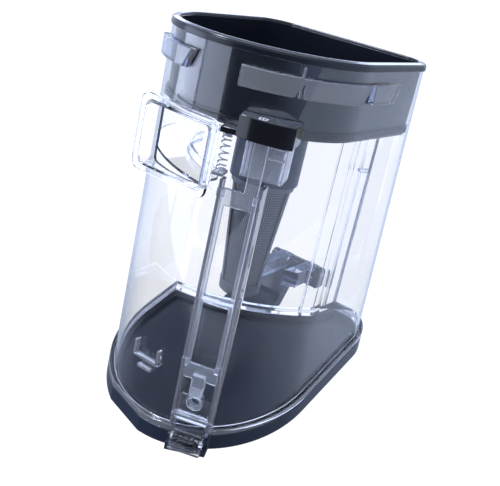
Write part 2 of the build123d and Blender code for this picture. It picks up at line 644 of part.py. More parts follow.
# Latch lever with its finger grips and toe
latch_face = LATCH_IN + LATCH_PLATE
spring_z = LATCH_TOP - 2 * SPRING_RADIUS
with BuildPart() as latch:
    column_box(-LATCH_HALF, LATCH_HALF, LATCH_BOTTOM, LATCH_TOP, LATCH_IN, latch_face)
    # Raised border, cross bar and bottom lip
    for side in (-1, 1):
        rail = side * (LATCH_HALF - LATCH_RIB / 2)
        column_box(rail - LATCH_RIB / 2, rail + LATCH_RIB / 2, LATCH_BOTTOM, LATCH_TOP, latch_face,
                   LATCH_IN + LATCH_THICK)
    for z in (LATCH_TOP - LATCH_RIB, BAR_Z):
        column_box(-LATCH_HALF, LATCH_HALF, z, z + LATCH_RIB, latch_face, LATCH_IN + LATCH_THICK)
    column_box(-LATCH_HALF, LATCH_HALF, LATCH_BOTTOM, LATCH_BOTTOM + LATCH_RIB, latch_face,
               latch_face + LATCH_RIB + SEAT_WALL)
    # Round seat for the spring on the inner side
    with BuildSketch(COLUMN.offset(LATCH_IN)):
        with Locations((0, spring_z)):
            Circle(LATCH_SPRING + SEAT_WALL + SPRING_WIRE + MOVE_GAP)
            Circle(LATCH_SPRING + SPRING_WIRE + MOVE_GAP, mode=Mode.SUBTRACT)
    extrude(amount=-SEAT_WALL)
    with BuildSketch(ACROSS.offset(-LATCH_HALF)):
        Polygon((TOE_BOTTOM, LATCH_IN), (TOE_BOTTOM, TOE_IN), (TOE_BOTTOM + TOE_TIP, TOE_IN),
                (TOE_BOTTOM + TOE_TIP + (LATCH_IN - TOE_IN) / TOE_SLOPE, LATCH_IN), align=None)
        with Locations((PIVOT_Z, PIVOT_OUT)):
            Circle(HUB_RADIUS)
        with Locations((PIVOT_Z, PIVOT_OUT + HUB_RADIUS / 2)):
            Rectangle(2 * HUB_RADIUS, HUB_RADIUS)
    extrude(amount=2 * LATCH_HALF)
    with BuildSketch(ACROSS.offset(-2 * LATCH_HALF)):
        with Locations((PIVOT_Z, PIVOT_OUT)):
            Circle(PIVOT_PIN + PIVOT_FIT)
    extrude(amount=4 * LATCH_HALF, mode=Mode.SUBTRACT)
    # Finger loops
    with BuildSketch(COLUMN.offset(latch_face)):
        with Locations((0, (LATCH_BOTTOM + LATCH_RIB + BAR_Z) / 2)):
            with GridLocations(GRIP_PITCH, 0, GRIP_COUNT, 1):
                RectangleRounded(GRIP_WIDE, GRIP_TALL, GRIP_WIDE / 2 - GRIP_WALL / 4)
                RectangleRounded(GRIP_WIDE - 2 * GRIP_WALL, GRIP_TALL - 2 * GRIP_WALL,
                                 GRIP_WIDE / 2 - 1.25 * GRIP_WALL, mode=Mode.SUBTRACT)
    extrude(amount=LATCH_RIB)
latch.part.label = "latch"

# Steel pivot pin of the latch
with BuildPart() as latch_pin:
    with BuildSketch(ACROSS.offset(-CHANNEL_HALF - CHEEK)):
        with Locations((PIVOT_Z, PIVOT_OUT)):
            Circle(PIVOT_PIN)
    extrude(amount=2 * (CHANNEL_HALF + CHEEK))
latch_pin.part.label = "latch_pin"

# Ladder-shaped push rod in the channel
with BuildPart() as push_rod:
    for side in (-1, 1):
        rail = side * (CHANNEL_HALF - MOVE_GAP - RAIL / 2)
        column_box(rail - RAIL / 2, rail + RAIL / 2, ROD_BOTTOM + 2 * WEDGE, CHANNEL_TOP - 2 * WEDGE,
                   ROD_IN, ROD_IN + ROD_THICK)
    half = CHANNEL_HALF - MOVE_GAP
    for z in (ROD_BOTTOM + 2 * WEDGE, CHANNEL_TOP - 3 * WEDGE):
        column_box(-half, half, z, z + 2 * WEDGE, ROD_IN, ROD_IN + ROD_THICK)
    column_box(-half, half, CHANNEL_TOP / 2, CHANNEL_TOP / 2 + WEDGE, ROD_IN, ROD_IN + ROD_THICK)
    column_box(STEM_SHIFT - STEM_HALF, STEM_SHIFT + STEM_HALF, CHANNEL_TOP - 2 * WEDGE,
               BUTTON_TOP - BUTTON_WALL - SEAT_GAP, ROD_IN, ROD_IN + ROD_THICK)
    # Wedge nose that tips the latch
    with BuildSketch(ACROSS.offset(-STEM_HALF)):
        Polygon((ROD_BOTTOM + 3 * WEDGE, ROD_IN), (ROD_BOTTOM + 3 * WEDGE, NOSE_OUT + WEDGE_LIP),
                (ROD_BOTTOM, NOSE_OUT + WEDGE_LIP), (ROD_BOTTOM, NOSE_OUT),
                (ROD_BOTTOM + WEDGE, ROD_IN + SEAL_LIP), (ROD_BOTTOM + WEDGE, ROD_IN), align=None)
    extrude(amount=2 * STEM_HALF)
push_rod.part.label = "push_rod"

# Clear housing the button slides over
button_left = BUTTON_SHIFT - BUTTON_WIDTH / 2
button_right = BUTTON_SHIFT + BUTTON_WIDTH / 2
inner_left = button_left + BUTTON_WALL
inner_right = button_right - BUTTON_WALL
inner_out = BUTTON_OUT - BUTTON_WALL
house = BUTTON_WALL + MOVE_GAP
with BuildPart() as button_housing:
    column_box(button_left + HOUSING_STEP, button_right - house, HOUSING_TOP - HOUSING_DEEP, HOUSING_TOP,
               -COLUMN_ROOT, BUTTON_OUT - house)
    column_box(button_left + HOUSING_STEP + WALL, button_right - house - WALL, HOUSING_TOP - HOUSING_DEEP,
               HOUSING_TOP, -COLUMN_ROOT, BUTTON_OUT - house - WALL, mode=Mode.SUBTRACT)
    for shelf in (1, 2):
        shelf_z = HOUSING_TOP - shelf * HOUSING_DEEP / 4
        column_box(STEM_SHIFT + STEM_HALF + WALL, button_right - house, shelf_z, shelf_z + SEAT_WALL,
                   -COLUMN_ROOT, BUTTON_OUT - house - WALL / 2)
    add(outside.part, mode=Mode.SUBTRACT)
button_housing.part.label = "button_housing"

# Release button, a hollow cap with a bowed front
with BuildPart() as wall_clear:
    d_block(-REACH, HEIGHT + REACH, MOVE_GAP)
with BuildPart() as release_button:
    with BuildSketch(column_plan(BUTTON_TOP)):
        with BuildLine():
            Polyline((button_left, BUTTON_OUT), (button_left, -COLUMN_ROOT), (button_right, -COLUMN_ROOT),
                     (button_right, BUTTON_OUT))
            ThreePointArc((button_right, BUTTON_OUT), (BUTTON_SHIFT, BUTTON_OUT + BUTTON_BOW),
                          (button_left, BUTTON_OUT))
        make_face()
    extrude(amount=BUTTON_DEEP)
    with BuildSketch(column_plan(BUTTON_TOP - BUTTON_WALL)):
        with BuildLine():
            Polyline((inner_left, inner_out), (inner_left, -COLUMN_ROOT), (inner_right, -COLUMN_ROOT),
                     (inner_right, inner_out))
            ThreePointArc((inner_right, inner_out), (BUTTON_SHIFT, inner_out + BUTTON_BOW),
                          (inner_left, inner_out))
        make_face()
    extrude(amount=BUTTON_DEEP, mode=Mode.SUBTRACT)
    # Ear that presses the return spring
    column_box(SPRING_U - SPRING_RADIUS - SPRING_EDGE, button_left + BUTTON_WALL, BUTTON_TOP - BUTTON_DEEP,
               BUTTON_TOP - BUTTON_DEEP + 2 * BUTTON_WALL, 0, SPRING_OUT + SPRING_RADIUS + SPRING_EDGE)
    add(wall_clear.part, mode=Mode.SUBTRACT)
release_button.part.label = "release_button"


def coil(start, direction, radius, wire, pitch, length):
    """Sweep a round wire along a helix from a start point."""
    with BuildLine() as path:
        Helix(pitch, length, radius, center=start, direction=direction)
    with BuildSketch(Plane(path.line @ 0, z_dir=path.line % 0)) as section:
        RegularPolygon(wire, 6)
    sweep(section.sketch, path=path.line, is_frenet=True)


# Return spring under the button's ear
with BuildPart() as button_spring:
    spring_base = COLUMN.from_local_coords((SPRING_U, SPRING_FOOT + SPRING_WIRE, SPRING_OUT))
    coil(tuple(spring_base), tuple(BIN.z_dir), SPRING_RADIUS, SPRING_WIRE, SPRING_PITCH,
         BUTTON_TOP - BUTTON_DEEP - SPRING_FOOT - 2 * SPRING_WIRE)
button_spring.part.label = "button_spring"

# Spring that holds the latch shut
with BuildPart() as latch_spring:
    latch_base = COLUMN.from_local_coords((0, spring_z, SPRING_BOSS + SPRING_WIRE))
    coil(tuple(latch_base), tuple(COLUMN.z_dir), LATCH_SPRING, SPRING_WIRE, SPRING_PITCH / 2,
         LATCH_IN - SPRING_BOSS - 2 * SPRING_WIRE)
latch_spring.part.label = "latch_spring"

# Each sub-part is written to its own file
os.makedirs("parts", exist_ok=True)
export_step(bin_body.part, "parts/bin_body.step")
export_step(inlet_duct.part, "parts/inlet_duct.step")
export_step(inlet_ramp.part, "parts/inlet_ramp.step")
export_step(filter_tray.part, "parts/filter_tray.step")
export_step(mouth_seal.part, "parts/mouth_seal.step")
export_step(tray_seal.part, "parts/tray_seal.step")
export_step(cone_collar.part, "parts/cone_collar.step")
export_step(cone_frame.part, "parts/cone_frame.step")
export_step(cone_mesh.part, "parts/cone_mesh.step")
export_step(cone_cap.part, "parts/cone_cap.step")
export_step(cone_screws.part, "parts/cone_screws.step")
export_step(door.part, "parts/door.step")
export_step(door_seal.part, "parts/door_seal.step")
export_step(hinge_pin.part, "parts/hinge_pin.step")
export_step(latch.part, "parts/latch.step")
export_step(latch_pin.part, "parts/latch_pin.step")
export_step(latch_spring.part, "parts/latch_spring.step")
export_step(push_rod.part, "parts/push_rod.step")
export_step(button_housing.part, "parts/button_housing.step")
export_step(release_button.part, "parts/release_button.step")
export_step(button_spring.part, "parts/button_spring.step")
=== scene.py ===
"""Studio scene of a clear cyclone dust bin standing on its slanted bottom door.

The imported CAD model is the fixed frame. This script gives every node its finish, rounds the moulded
edges, adds the woven sleeve, the wire springs, the mouth bead and the button's mark, and sets the floor,
lights and camera.
"""

from __future__ import annotations

import json
import logging
import math
from dataclasses import dataclass
from enum import Enum
from functools import partial
from typing import Callable, Sequence

import bmesh
import bpy
from mathutils import Matrix, Vector
from mathutils.bvhtree import BVHTree
from mathutils.interpolate import poly_3d_calc

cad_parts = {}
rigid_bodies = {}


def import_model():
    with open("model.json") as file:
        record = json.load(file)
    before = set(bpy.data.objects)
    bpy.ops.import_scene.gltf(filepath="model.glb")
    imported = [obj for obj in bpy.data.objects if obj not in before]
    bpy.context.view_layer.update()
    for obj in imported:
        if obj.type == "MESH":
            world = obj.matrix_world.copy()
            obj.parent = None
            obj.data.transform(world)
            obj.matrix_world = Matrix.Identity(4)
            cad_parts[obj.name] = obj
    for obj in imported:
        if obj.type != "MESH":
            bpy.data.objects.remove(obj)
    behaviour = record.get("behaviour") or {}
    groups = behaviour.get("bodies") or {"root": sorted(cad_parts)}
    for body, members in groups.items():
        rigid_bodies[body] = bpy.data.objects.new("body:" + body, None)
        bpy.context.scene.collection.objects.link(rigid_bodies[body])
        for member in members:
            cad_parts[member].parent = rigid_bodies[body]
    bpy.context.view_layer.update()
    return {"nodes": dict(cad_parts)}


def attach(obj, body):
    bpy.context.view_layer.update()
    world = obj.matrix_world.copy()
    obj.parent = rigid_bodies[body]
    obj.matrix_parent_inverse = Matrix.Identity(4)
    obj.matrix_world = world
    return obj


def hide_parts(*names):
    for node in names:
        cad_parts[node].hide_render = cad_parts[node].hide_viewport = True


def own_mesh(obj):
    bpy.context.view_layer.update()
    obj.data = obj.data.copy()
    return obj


LOG = logging.getLogger("dust_bin")
MM = 0.001

# The bin's own axis leans back from the upright by this much
LEAN = math.radians(20.0)
BIN_TO_ROW = Matrix.Rotation(-LEAN, 4, "X")

# Widths of the slow drifts of colour and of polish, in millimetres
DRIFT_MM = 35.714
FLOW_MM = 55.556
# Between which values of the drift the colour changes
TONE_BAND = (0.3, 0.7)
# How strongly the grain tilts the surface, and how rough the polished skin is
GRAIN_TILT = 0.35
SKIN_ROUGHNESS = 0.08
# How far the grain and the flow marks swing the roughness about its middle
GRAIN_SWING = 0.2
FLOW_SWING = 0.5

# Limits for the rounded copies of CAD nodes: points and slivers that are joined, in millimetres
MERGE_MM = 0.002
SLIVER_MM = 0.05
# How far a corner is nudged into its face to find the CAD facet under it, and how far off that may be
NUDGE_MM = 0.05
FOUND_MM = 0.06
# Least length of a blended CAD normal, and how well it has to agree with the face that takes it
BLEND_LEAST = 0.5
FACING_COSINE = 0.5
# What counts as one flat face, and as a sharp edge
FLAT_COSINE = 0.9999995
FLAT_ANGLE = math.radians(0.3)
SHARP_ANGLE = math.radians(35.0)
# Steps round a rounded edge
ROUND_STEPS = 2
# What counts as lying on a clear wall, and as standing proud of it
WALL_MM = 0.06
WALL_COSINE = 0.99
PROUD_MM = 0.8

# Share of the floor that glows, and the white that is seen straight or through clear plastic
FLOOR_GLOW = 0.93
SEEN_WHITE = 1.12
# Painted shade on the floor, seen only in reflections, as if a dark card lay there: its middle, and
# where it starts to fade and ends
SHADE_PATCH_MIDDLE = (0.0, -0.56, 0.0)
SHADE_PATCH_REACH = (0.42, 0.66)
# Bounces below which a ray comes straight to the eye or only through clear plastic
STRAIGHT_BOUNCES = 0.5
# Mirrorings that mark light piped inside clear plastic, and how bright it comes out
PIPED_BOUNCES = 1.5
PIPED_LIGHT = 3.0


class Body(str, Enum):
    """CAD bodies that pieces can ride on."""

    BIN = "bin"
    DOOR = "bottom_door"
    RELEASE = "release"
    LATCH = "latch_lever"


class Slot(str, Enum):
    """Material slots of the record."""

    CLEAR = "clear_polycarbonate"
    SLATE = "slate_abs"
    GREY = "grey_abs"
    MESH = "steel_mesh"
    STEEL = "bright_steel"
    RUBBER = "black_rubber"
    BLACK = "black_abs"
    ACETAL = "white_acetal"


def linear(hex_colour: str) -> tuple[float, float, float, float]:
    """Turn an sRGB hex colour into linear values.

    Args:
        hex_colour: six hex digits with a leading hash.

    Returns:
        Red, green, blue and alpha for a colour socket.
    """
    channels = [int(hex_colour[i : i + 2], 16) / 255.0 for i in (1, 3, 5)]
    curved = [c / 12.92 if c <= 0.04045 else ((c + 0.055) / 1.055) ** 2.4 for c in channels]
    return (*curved, 1.0)


def bin_point(x: float, y: float, z: float) -> Vector:
    """Place a point given in millimetres along the bin's own axes.

    Args:
        x: millimetres to the right.
        y: millimetres towards the back.
        z: millimetres along the leaning axis.

    Returns:
        The point in the row frame, in metres.
    """
    return BIN_TO_ROW @ Vector((x, y, z)) * MM


def add_node(
    tree: bpy.types.NodeTree,
    kind: str,
    feeds: dict[str | int, object] | None = None,
    stops: Sequence[tuple[float, tuple[float, ...]]] = (),
    **settings: object,
) -> bpy.types.Node:
    """Add a node, set its properties, then link or set its inputs.

    Args:
        tree: the node tree that gets the node.
        kind: the node's type name.
        feeds: input name or number to the socket or node that feeds it, or to its value.
        stops: places from 0 to 1 with their colours, where the node is a colour ramp.
        **settings: property names and values.

    Returns:
        The new node.
    """
    node = tree.nodes.new(kind)
    for name, value in settings.items():
        setattr(node, name, value)
    for name, source in (feeds or {}).items():
        if isinstance(source, bpy.types.Node):
            tree.links.new(source.outputs[0], node.inputs[name])
        elif isinstance(source, bpy.types.NodeSocket):
            tree.links.new(source, node.inputs[name])
        else:
            node.inputs[name].default_value = source
    if stops:
        band = node.color_ramp.elements
        while len(band) < len(stops):
            band.new(0.5)
        for element, (spot, colour) in zip(band, stops):
            element.position = spot
            element.color = colour
    return node


@dataclass(frozen=True)
class Finish:
    """A moulded, rubber or metal finish.

    Attributes:
        name: the real material.
        colour: base colour as sRGB hex.
        roughness: middle value of the surface roughness.
        metallic: 1 for bare metal.
        grain: width of one grain of the surface, in millimetres.
        relief: height of that grain, in millimetres.
        tone: how far the colour drifts over the surface.
        gloss: weight of a clear polished skin.
    """

    name: str
    colour: str
    roughness: float
    metallic: float = 0.0
    grain: float = 0.4
    relief: float = 0.03
    tone: float = 0.12
    gloss: float = 0.0

    def material(self) -> bpy.types.Material:
        """Build the node material.

        Returns:
            A material with grain, colour drift and uneven roughness.
        """
        material = bpy.data.materials.new(self.name)
        material.use_nodes = True
        tree = material.node_tree
        shader = tree.nodes["Principled BSDF"]
        shader.inputs["Metallic"].default_value = self.metallic
        shader.inputs["Coat Weight"].default_value = self.gloss
        shader.inputs["Coat Roughness"].default_value = SKIN_ROUGHNESS
        place = add_node(tree, "ShaderNodeTexCoord").outputs["Object"]
        slow = {"Vector": place, "Scale": 1.0 / (DRIFT_MM * MM), "Detail": 3.0}
        drift = add_node(tree, "ShaderNodeTexNoise", slow)
        fine = add_node(tree, "ShaderNodeTexNoise", {"Vector": place, "Scale": 1.0 / (self.grain * MM)})
        # A slow drift between two tones keeps wide panels from looking flat
        base = linear(self.colour)[:3]
        tones = (1.0 - self.tone, 1.0 + self.tone)
        shades = [(*[min(1.0, c * tone) for c in base], 1.0) for tone in tones]
        band = list(zip(TONE_BAND, shades))
        ramp = add_node(tree, "ShaderNodeValToRGB", {"Fac": drift.outputs["Fac"]}, band)
        tree.links.new(ramp.outputs["Color"], shader.inputs["Base Color"])
        # The grain breaks up the edges of reflections
        smooth, coarse = self.roughness * (1.0 - GRAIN_SWING), self.roughness * (1.0 + GRAIN_SWING)
        swing = {"Value": fine.outputs["Fac"], "To Min": smooth, "To Max": coarse}
        rough = add_node(tree, "ShaderNodeMapRange", swing)
        tree.links.new(rough.outputs["Result"], shader.inputs["Roughness"])
        height = {"Height": fine.outputs["Fac"], "Strength": GRAIN_TILT, "Distance": self.relief * MM}
        bump = add_node(tree, "ShaderNodeBump", height)
        tree.links.new(bump.outputs["Normal"], shader.inputs["Normal"])
        return material


@dataclass(frozen=True)
class ClearFinish:
    """A clear plastic that tints with the length of plastic looked through.

    Attributes:
        name: the real material.
        tint: colour that is left after a long way through the plastic.
        density: how fast the tint builds up, per metre.
        roughness: surface roughness.
        milk: share of the light that the plastic scatters instead of letting it through.
        colour: colour of the scattered light as sRGB hex.
        index: refractive index.
    """

    name: str
    tint: str
    density: float
    roughness: float = 0.012
    milk: float = 0.0
    colour: str = "#ffffff"
    index: float = 1.585

    def material(self) -> bpy.types.Material:
        """Build the node material.

        Returns:
            A refracting material with an absorbing inside.
        """
        material = bpy.data.materials.new(self.name)
        material.use_nodes = True
        tree = material.node_tree
        shader = tree.nodes["Principled BSDF"]
        shader.inputs["Base Color"].default_value = linear(self.colour)
        shader.inputs["Transmission Weight"].default_value = 1.0 - self.milk
        shader.inputs["IOR"].default_value = self.index
        place = add_node(tree, "ShaderNodeTexCoord").outputs["Object"]
        # Slow flow marks of the moulding show as faint changes of polish
        slow = {"Vector": place, "Scale": 1.0 / (FLOW_MM * MM), "Detail": 2.0}
        flow = add_node(tree, "ShaderNodeTexNoise", slow)
        smooth, coarse = self.roughness * (1.0 - FLOW_SWING), self.roughness * (1.0 + FLOW_SWING)
        swing = {"Value": flow.outputs["Fac"], "To Min": smooth, "To Max": coarse}
        rough = add_node(tree, "ShaderNodeMapRange", swing)
        tree.links.new(rough.outputs["Result"], shader.inputs["Roughness"])
        inside = {"Color": linear(self.tint), "Density": self.density}
        absorb = add_node(tree, "ShaderNodeVolumeAbsorption", inside)
        tree.links.new(absorb.outputs["Volume"], tree.nodes["Material Output"].inputs["Volume"])
        return material


# Clear walls that go blue where they are looked at edge-on
CLEAR = ClearFinish("clear_polycarbonate", tint="#7c8fc4", density=22.0)
# A trace of haze, so that small clear details read against the dark trays
HAZY = ClearFinish(
    "hazy_polycarbonate", tint="#7c8fc4", density=22.0, roughness=0.03, milk=0.17, colour="#f1f4fb"
)
# Faintly milky rod that softens what lies behind it
ROD_CLEAR = ClearFinish(
    "milky_acetal", tint="#9aa8c0", density=30.0, roughness=0.05, milk=0.17, colour="#f1f4fb"
)
# Dark blue-grey tray with clear, slightly soft reflections
SLATE = Finish("slate_abs", colour="#141821", roughness=0.2, relief=0.008)
# Collar over the cone in the tray's slate, made bluer and lighter: painted light where the collar is lit
# from the right
LIT_SLATE_COLLAR = Finish("slate_abs_painted_light", colour="#3a435c", roughness=0.36)
# Dark slate door with a soft shine
DARK = Finish("dark_abs", colour="#242c3b", roughness=0.24, relief=0.008)
# Mid-grey satin ribs round the cloth
CAGE = Finish("grey_abs", colour="#8d8e92", roughness=0.42)
# Piano-black button
BLACK = Finish("black_abs", colour="#0c0d10", roughness=0.16, relief=0.004, gloss=0.4)
# Dull black seals with a coarse grain
RUBBER = Finish("black_rubber", colour="#101115", roughness=0.5, grain=0.6)
# Polished bead that catches a white line
BEAD = Finish("black_rubber_bead", colour="#15161b", roughness=0.22, relief=0.004, gloss=0.5)
# Bright drawn wire and pins
STEEL = Finish("bright_steel", colour="#c9ccd2", roughness=0.2, metallic=1.0, relief=0.004)
# Pale wires, with a darker sheet behind that shows in the gaps; the sheet's dark grey is painted shade
# for the dim inside of the cone between the wires
WIRE = Finish("woven_steel", colour="#f0efec", roughness=0.45, metallic=0.2, relief=0.004)
# Painted shade: the sleeve behind the cloth is dark grey so that the gaps of the weave look shaded
PAINTED_SHADE_BACKING = Finish("mesh_painted_shade", colour="#5a5b60", roughness=0.6)
# White print on the button
INK = Finish("white_ink", colour="#e9eaec", roughness=0.5, relief=0.004, tone=0.03)


class Paints:
    """Materials made once and shared by the pieces."""

    def __init__(self) -> None:
        """Start with no material made."""
        self._made: dict[str, bpy.types.Material] = {}

    def of(self, finish: Finish | ClearFinish) -> bpy.types.Material:
        """Give the material of a finish.

        Args:
            finish: the finish that is wanted.

        Returns:
            Its material, made on the first call.
        """
        if finish.name not in self._made:
            self._made[finish.name] = finish.material()
        return self._made[finish.name]


def place_piece(
    name: str, mesh: bpy.types.Mesh, body: Body, stands_for: Sequence[str] = ()
) -> bpy.types.Object:
    """Make a mesh into a piece that rides on a CAD body.

    Args:
        name: the piece's name.
        mesh: its mesh, already in the row frame.
        body: the body that it rides on.
        stands_for: CAD nodes that it replaces.

    Returns:
        The piece.
    """
    piece = bpy.data.objects.new(name, mesh)
    bpy.context.scene.collection.objects.link(piece)
    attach(piece, body.value)
    if stands_for:
        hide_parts(*stands_for)
    LOG.info("piece %s: %d faces", name, len(mesh.polygons))
    return piece


@dataclass(frozen=True)
class BinPlan:
    """The D-shaped plan of the bin, which narrows from the base to the mouth. Sizes in millimetres.

    Attributes:
        height: distance from the base to the mouth along the axis.
        radius: front radius at the base and at the mouth.
        centre: place of the front arc's centre at the base and at the mouth.
        back: place of the flat back at the base and at the mouth.
        corner: radius of the rear corners.
        wall: thickness of the clear wall.
        front_steps: points round the front arc.
        corner_steps: points round a rear corner.
    """

    height: float = 283.0
    radius: tuple[float, float] = (88.0, 81.0)
    centre: tuple[float, float] = (-10.0, -21.0)
    back: tuple[float, float] = (92.0, 88.0)
    corner: float = 26.0
    wall: float = 2.4
    front_steps: int = 96
    corner_steps: int = 20

    def at(self, pair: tuple[float, float], z: float) -> float:
        """Give a size at a height along the axis, from its values at the base and at the mouth."""
        return pair[0] + (pair[1] - pair[0]) * z / self.height

    def loop(self, z: float, grow: float) -> list[Vector]:
        """Give points round the plan at one height.

        Args:
            z: height along the axis.
            grow: how far the plan is grown outward.

        Returns:
            Points in the row frame, in metres, in one sense of turning.
        """
        radius = self.at(self.radius, z) + grow
        centre = self.at(self.centre, z)
        bend = self.corner + grow
        rear = self.at(self.back, z) + grow - bend
        side = radius - bend
        arcs = ((0.0, centre, radius, 180.0, 360.0, self.front_steps),
                (side, rear, bend, 0.0, 90.0, self.corner_steps),
                (-side, rear, bend, 90.0, 180.0, self.corner_steps))
        points = []
        for x, y, reach, start, end, count in arcs:
            for step in range(count + 1):
                turn = math.radians(start + (end - start) * step / count)
                points.append(bin_point(x + reach * math.cos(turn), y + reach * math.sin(turn), z))
        return points

    def surface(self, place: Vector, grow: float) -> tuple[float, Vector]:
        """Find how far a point is from the tapering wall, and the wall's exact normal there.

        Args:
            place: a point in the row frame, in metres.
            grow: how far the wall is grown outward from the plan.

        Returns:
            The distance outside the wall in metres, and the outward normal in the row frame.
        """
        x, y, z = (BIN_TO_ROW.inverted() @ place) / MM
        hand = -1.0 if x < 0.0 else 1.0
        bend = self.corner + grow
        rear = self.at(self.back, z) + grow - bend
        side = self.at(self.radius, z) + grow - bend
        centre = self.at(self.centre, z)
        lean = [(pair[1] - pair[0]) / self.height for pair in (self.radius, self.centre, self.back)]
        if y < centre:
            reach = math.hypot(x, y - centre)
            across, back = x / reach, (y - centre) / reach
            rise = -back * lean[1] - lean[0]
            gap = reach - side - bend
        elif y < rear:
            across, back, rise, gap = hand, 0.0, -lean[0], abs(x) - side - bend
        elif abs(x) < side:
            across, back, rise, gap = 0.0, 1.0, -lean[2], y - rear - bend
        else:
            reach = max(math.hypot(abs(x) - side, y - rear), 1e-6)
            across, back = hand * (abs(x) - side) / reach, (y - rear) / reach
            rise = -abs(across) * lean[0] - back * lean[2]
            gap = reach - bend
        return gap * MM, bin_point(across, back, rise).normalized()


PLAN = BinPlan()


@dataclass(frozen=True)
class Moulding:
    """A CAD node with its finish and, where its edges show, a rounded copy.

    Attributes:
        node: the CAD node's name.
        body: the body that it belongs to.
        slot: the record's material slot; not used.
        finish: its finish.
        edge: radius of the rounded edges in millimetres, or 0 to show the CAD node itself.
        walls: growths of the bin's plan that its clear walls follow, each with the side that it faces.
        proud: finish of the details that stand proud of the bin's wall, where it differs.
    """

    node: str
    body: Body
    slot: Slot
    finish: Finish | ClearFinish
    edge: float = 0.0
    walls: tuple[tuple[float, float], ...] = ()
    proud: ClearFinish | None = None

    def build(self, source: bpy.types.Object, paints: Paints) -> None:
        """Paint the node and, where its edges show, stand a rounded copy in for it.

        Args:
            source: the CAD node's object.
            paints: the shared materials.
        """
        material = paints.of(self.finish)
        source.data.materials.clear()
        source.data.materials.append(material)
        if not self.edge:
            return
        mesh = self.rounded(self.merged(source.data))
        self.shade(source.data, mesh)
        mesh.materials.clear()
        mesh.materials.append(material)
        if self.proud:
            mesh.materials.append(paints.of(self.proud))
            for face in mesh.polygons:
                face.material_index = int(PLAN.surface(face.center, 0.0)[0] > PROUD_MM * MM)
        place_piece(f"{self.node}_moulded", mesh, self.body, [self.node])

    def merged(self, source: bpy.types.Mesh) -> bpy.types.Mesh:
        """Join the CAD facets into one closed skin without tiny edges.

        Args:
            source: the CAD node's mesh.

        Returns:
            A new mesh.
        """
        mesh = source.copy()
        mesh.name = f"{self.node}_moulded"
        for layer in ("custom_normal", "sharp_edge", "sharp_face"):
            if layer in mesh.attributes:
                mesh.attributes.remove(mesh.attributes[layer])
        skin = bmesh.new()
        skin.from_mesh(mesh)
        flat = skin.faces.layers.int.new("flat")
        for face, facet in zip(skin.faces, source.polygons):
            normals = [source.corner_normals[loop].vector for loop in facet.loop_indices]
            face[flat] = all(normal.dot(normals[0]) > FLAT_COSINE for normal in normals)
        bmesh.ops.remove_doubles(skin, verts=skin.verts, dist=MERGE_MM * MM)
        bmesh.ops.dissolve_degenerate(skin, dist=SLIVER_MM * MM, edges=skin.edges)
        # Facets of one flat face become one face; curved walls keep their facets
        edges = [edge for edge in skin.edges if all(face[flat] for face in edge.link_faces)]
        verts = [vert for vert in skin.verts if all(face[flat] for face in vert.link_faces)]
        bmesh.ops.dissolve_limit(skin, angle_limit=FLAT_ANGLE, verts=verts, edges=edges)
        skin.to_mesh(mesh)
        skin.free()
        return mesh

    def rounded(self, mesh: bpy.types.Mesh) -> bpy.types.Mesh:
        """Round the sharp edges as a moulding tool leaves them.

        Args:
            mesh: the closed skin.

        Returns:
            The rounded mesh.
        """
        carrier = bpy.data.objects.new(mesh.name, mesh)
        bpy.context.scene.collection.objects.link(carrier)
        mesh.shade_smooth()
        bevel = carrier.modifiers.new("round", "BEVEL")
        bevel.width = self.edge * MM
        bevel.segments = ROUND_STEPS
        bevel.limit_method = "ANGLE"
        bevel.angle_limit = SHARP_ANGLE
        bevel.use_clamp_overlap = False
        return baked(carrier)

    def shade(self, source: bpy.types.Mesh, mesh: bpy.types.Mesh) -> None:
        """Give the rounded mesh the CAD surface's own normals, and exact ones on the clear walls.

        Args:
            source: the CAD node's mesh, in triangles.
            mesh: the rounded mesh.
        """
        nudge = NUDGE_MM * MM
        spots = [vertex.co.copy() for vertex in source.vertices]
        facets = [tuple(face.vertices) for face in source.polygons]
        tree = BVHTree.FromPolygons(spots, facets)
        normals = []
        for face in mesh.polygons:
            for index in face.vertices:
                place = mesh.vertices[index].co
                inward = (face.center - place).normalized() * nudge
                near, _, facet, gap = tree.find_nearest(place + inward)
                normal = Vector(mesh.vertex_normals[index].vector)
                if gap < FOUND_MM * MM:
                    weights = poly_3d_calc([spots[corner] for corner in facets[facet]], near)
                    loops = source.polygons[facet].loop_indices
                    smooth = Vector()
                    for loop, part in zip(loops, weights):
                        smooth += source.corner_normals[loop].vector * part
                    agrees = smooth.normalized().dot(face.normal) > FACING_COSINE
                    if smooth.length > BLEND_LEAST and agrees:
                        normal = smooth.normalized()
                normals.append(self.wall_normal(place, normal))
        mesh.normals_split_custom_set(normals)

    def wall_normal(self, place: Vector, normal: Vector) -> Vector:
        """Swap a faceted normal on a clear wall for the wall's exact one, so that it refracts evenly.

        Args:
            place: a point of the mesh.
            normal: its faceted normal.

        Returns:
            The exact normal on a clear wall, or else the normal given.
        """
        for grow, facing in self.walls:
            gap, exact = PLAN.surface(place, grow)
            if abs(gap) < WALL_MM * MM and exact.dot(normal) * facing > WALL_COSINE:
                return exact * facing
        return normal


def baked(carrier: bpy.types.Object) -> bpy.types.Mesh:
    """Take the finished mesh of an object with modifiers, and remove the object.

    Args:
        carrier: the object that carries the modifiers.

    Returns:
        The evaluated mesh.
    """
    bpy.context.view_layer.update()
    evaluated = carrier.evaluated_get(bpy.context.evaluated_depsgraph_get())
    mesh = bpy.data.meshes.new_from_object(evaluated)
    carrier.modifiers.clear()
    bpy.data.objects.remove(carrier)
    return mesh


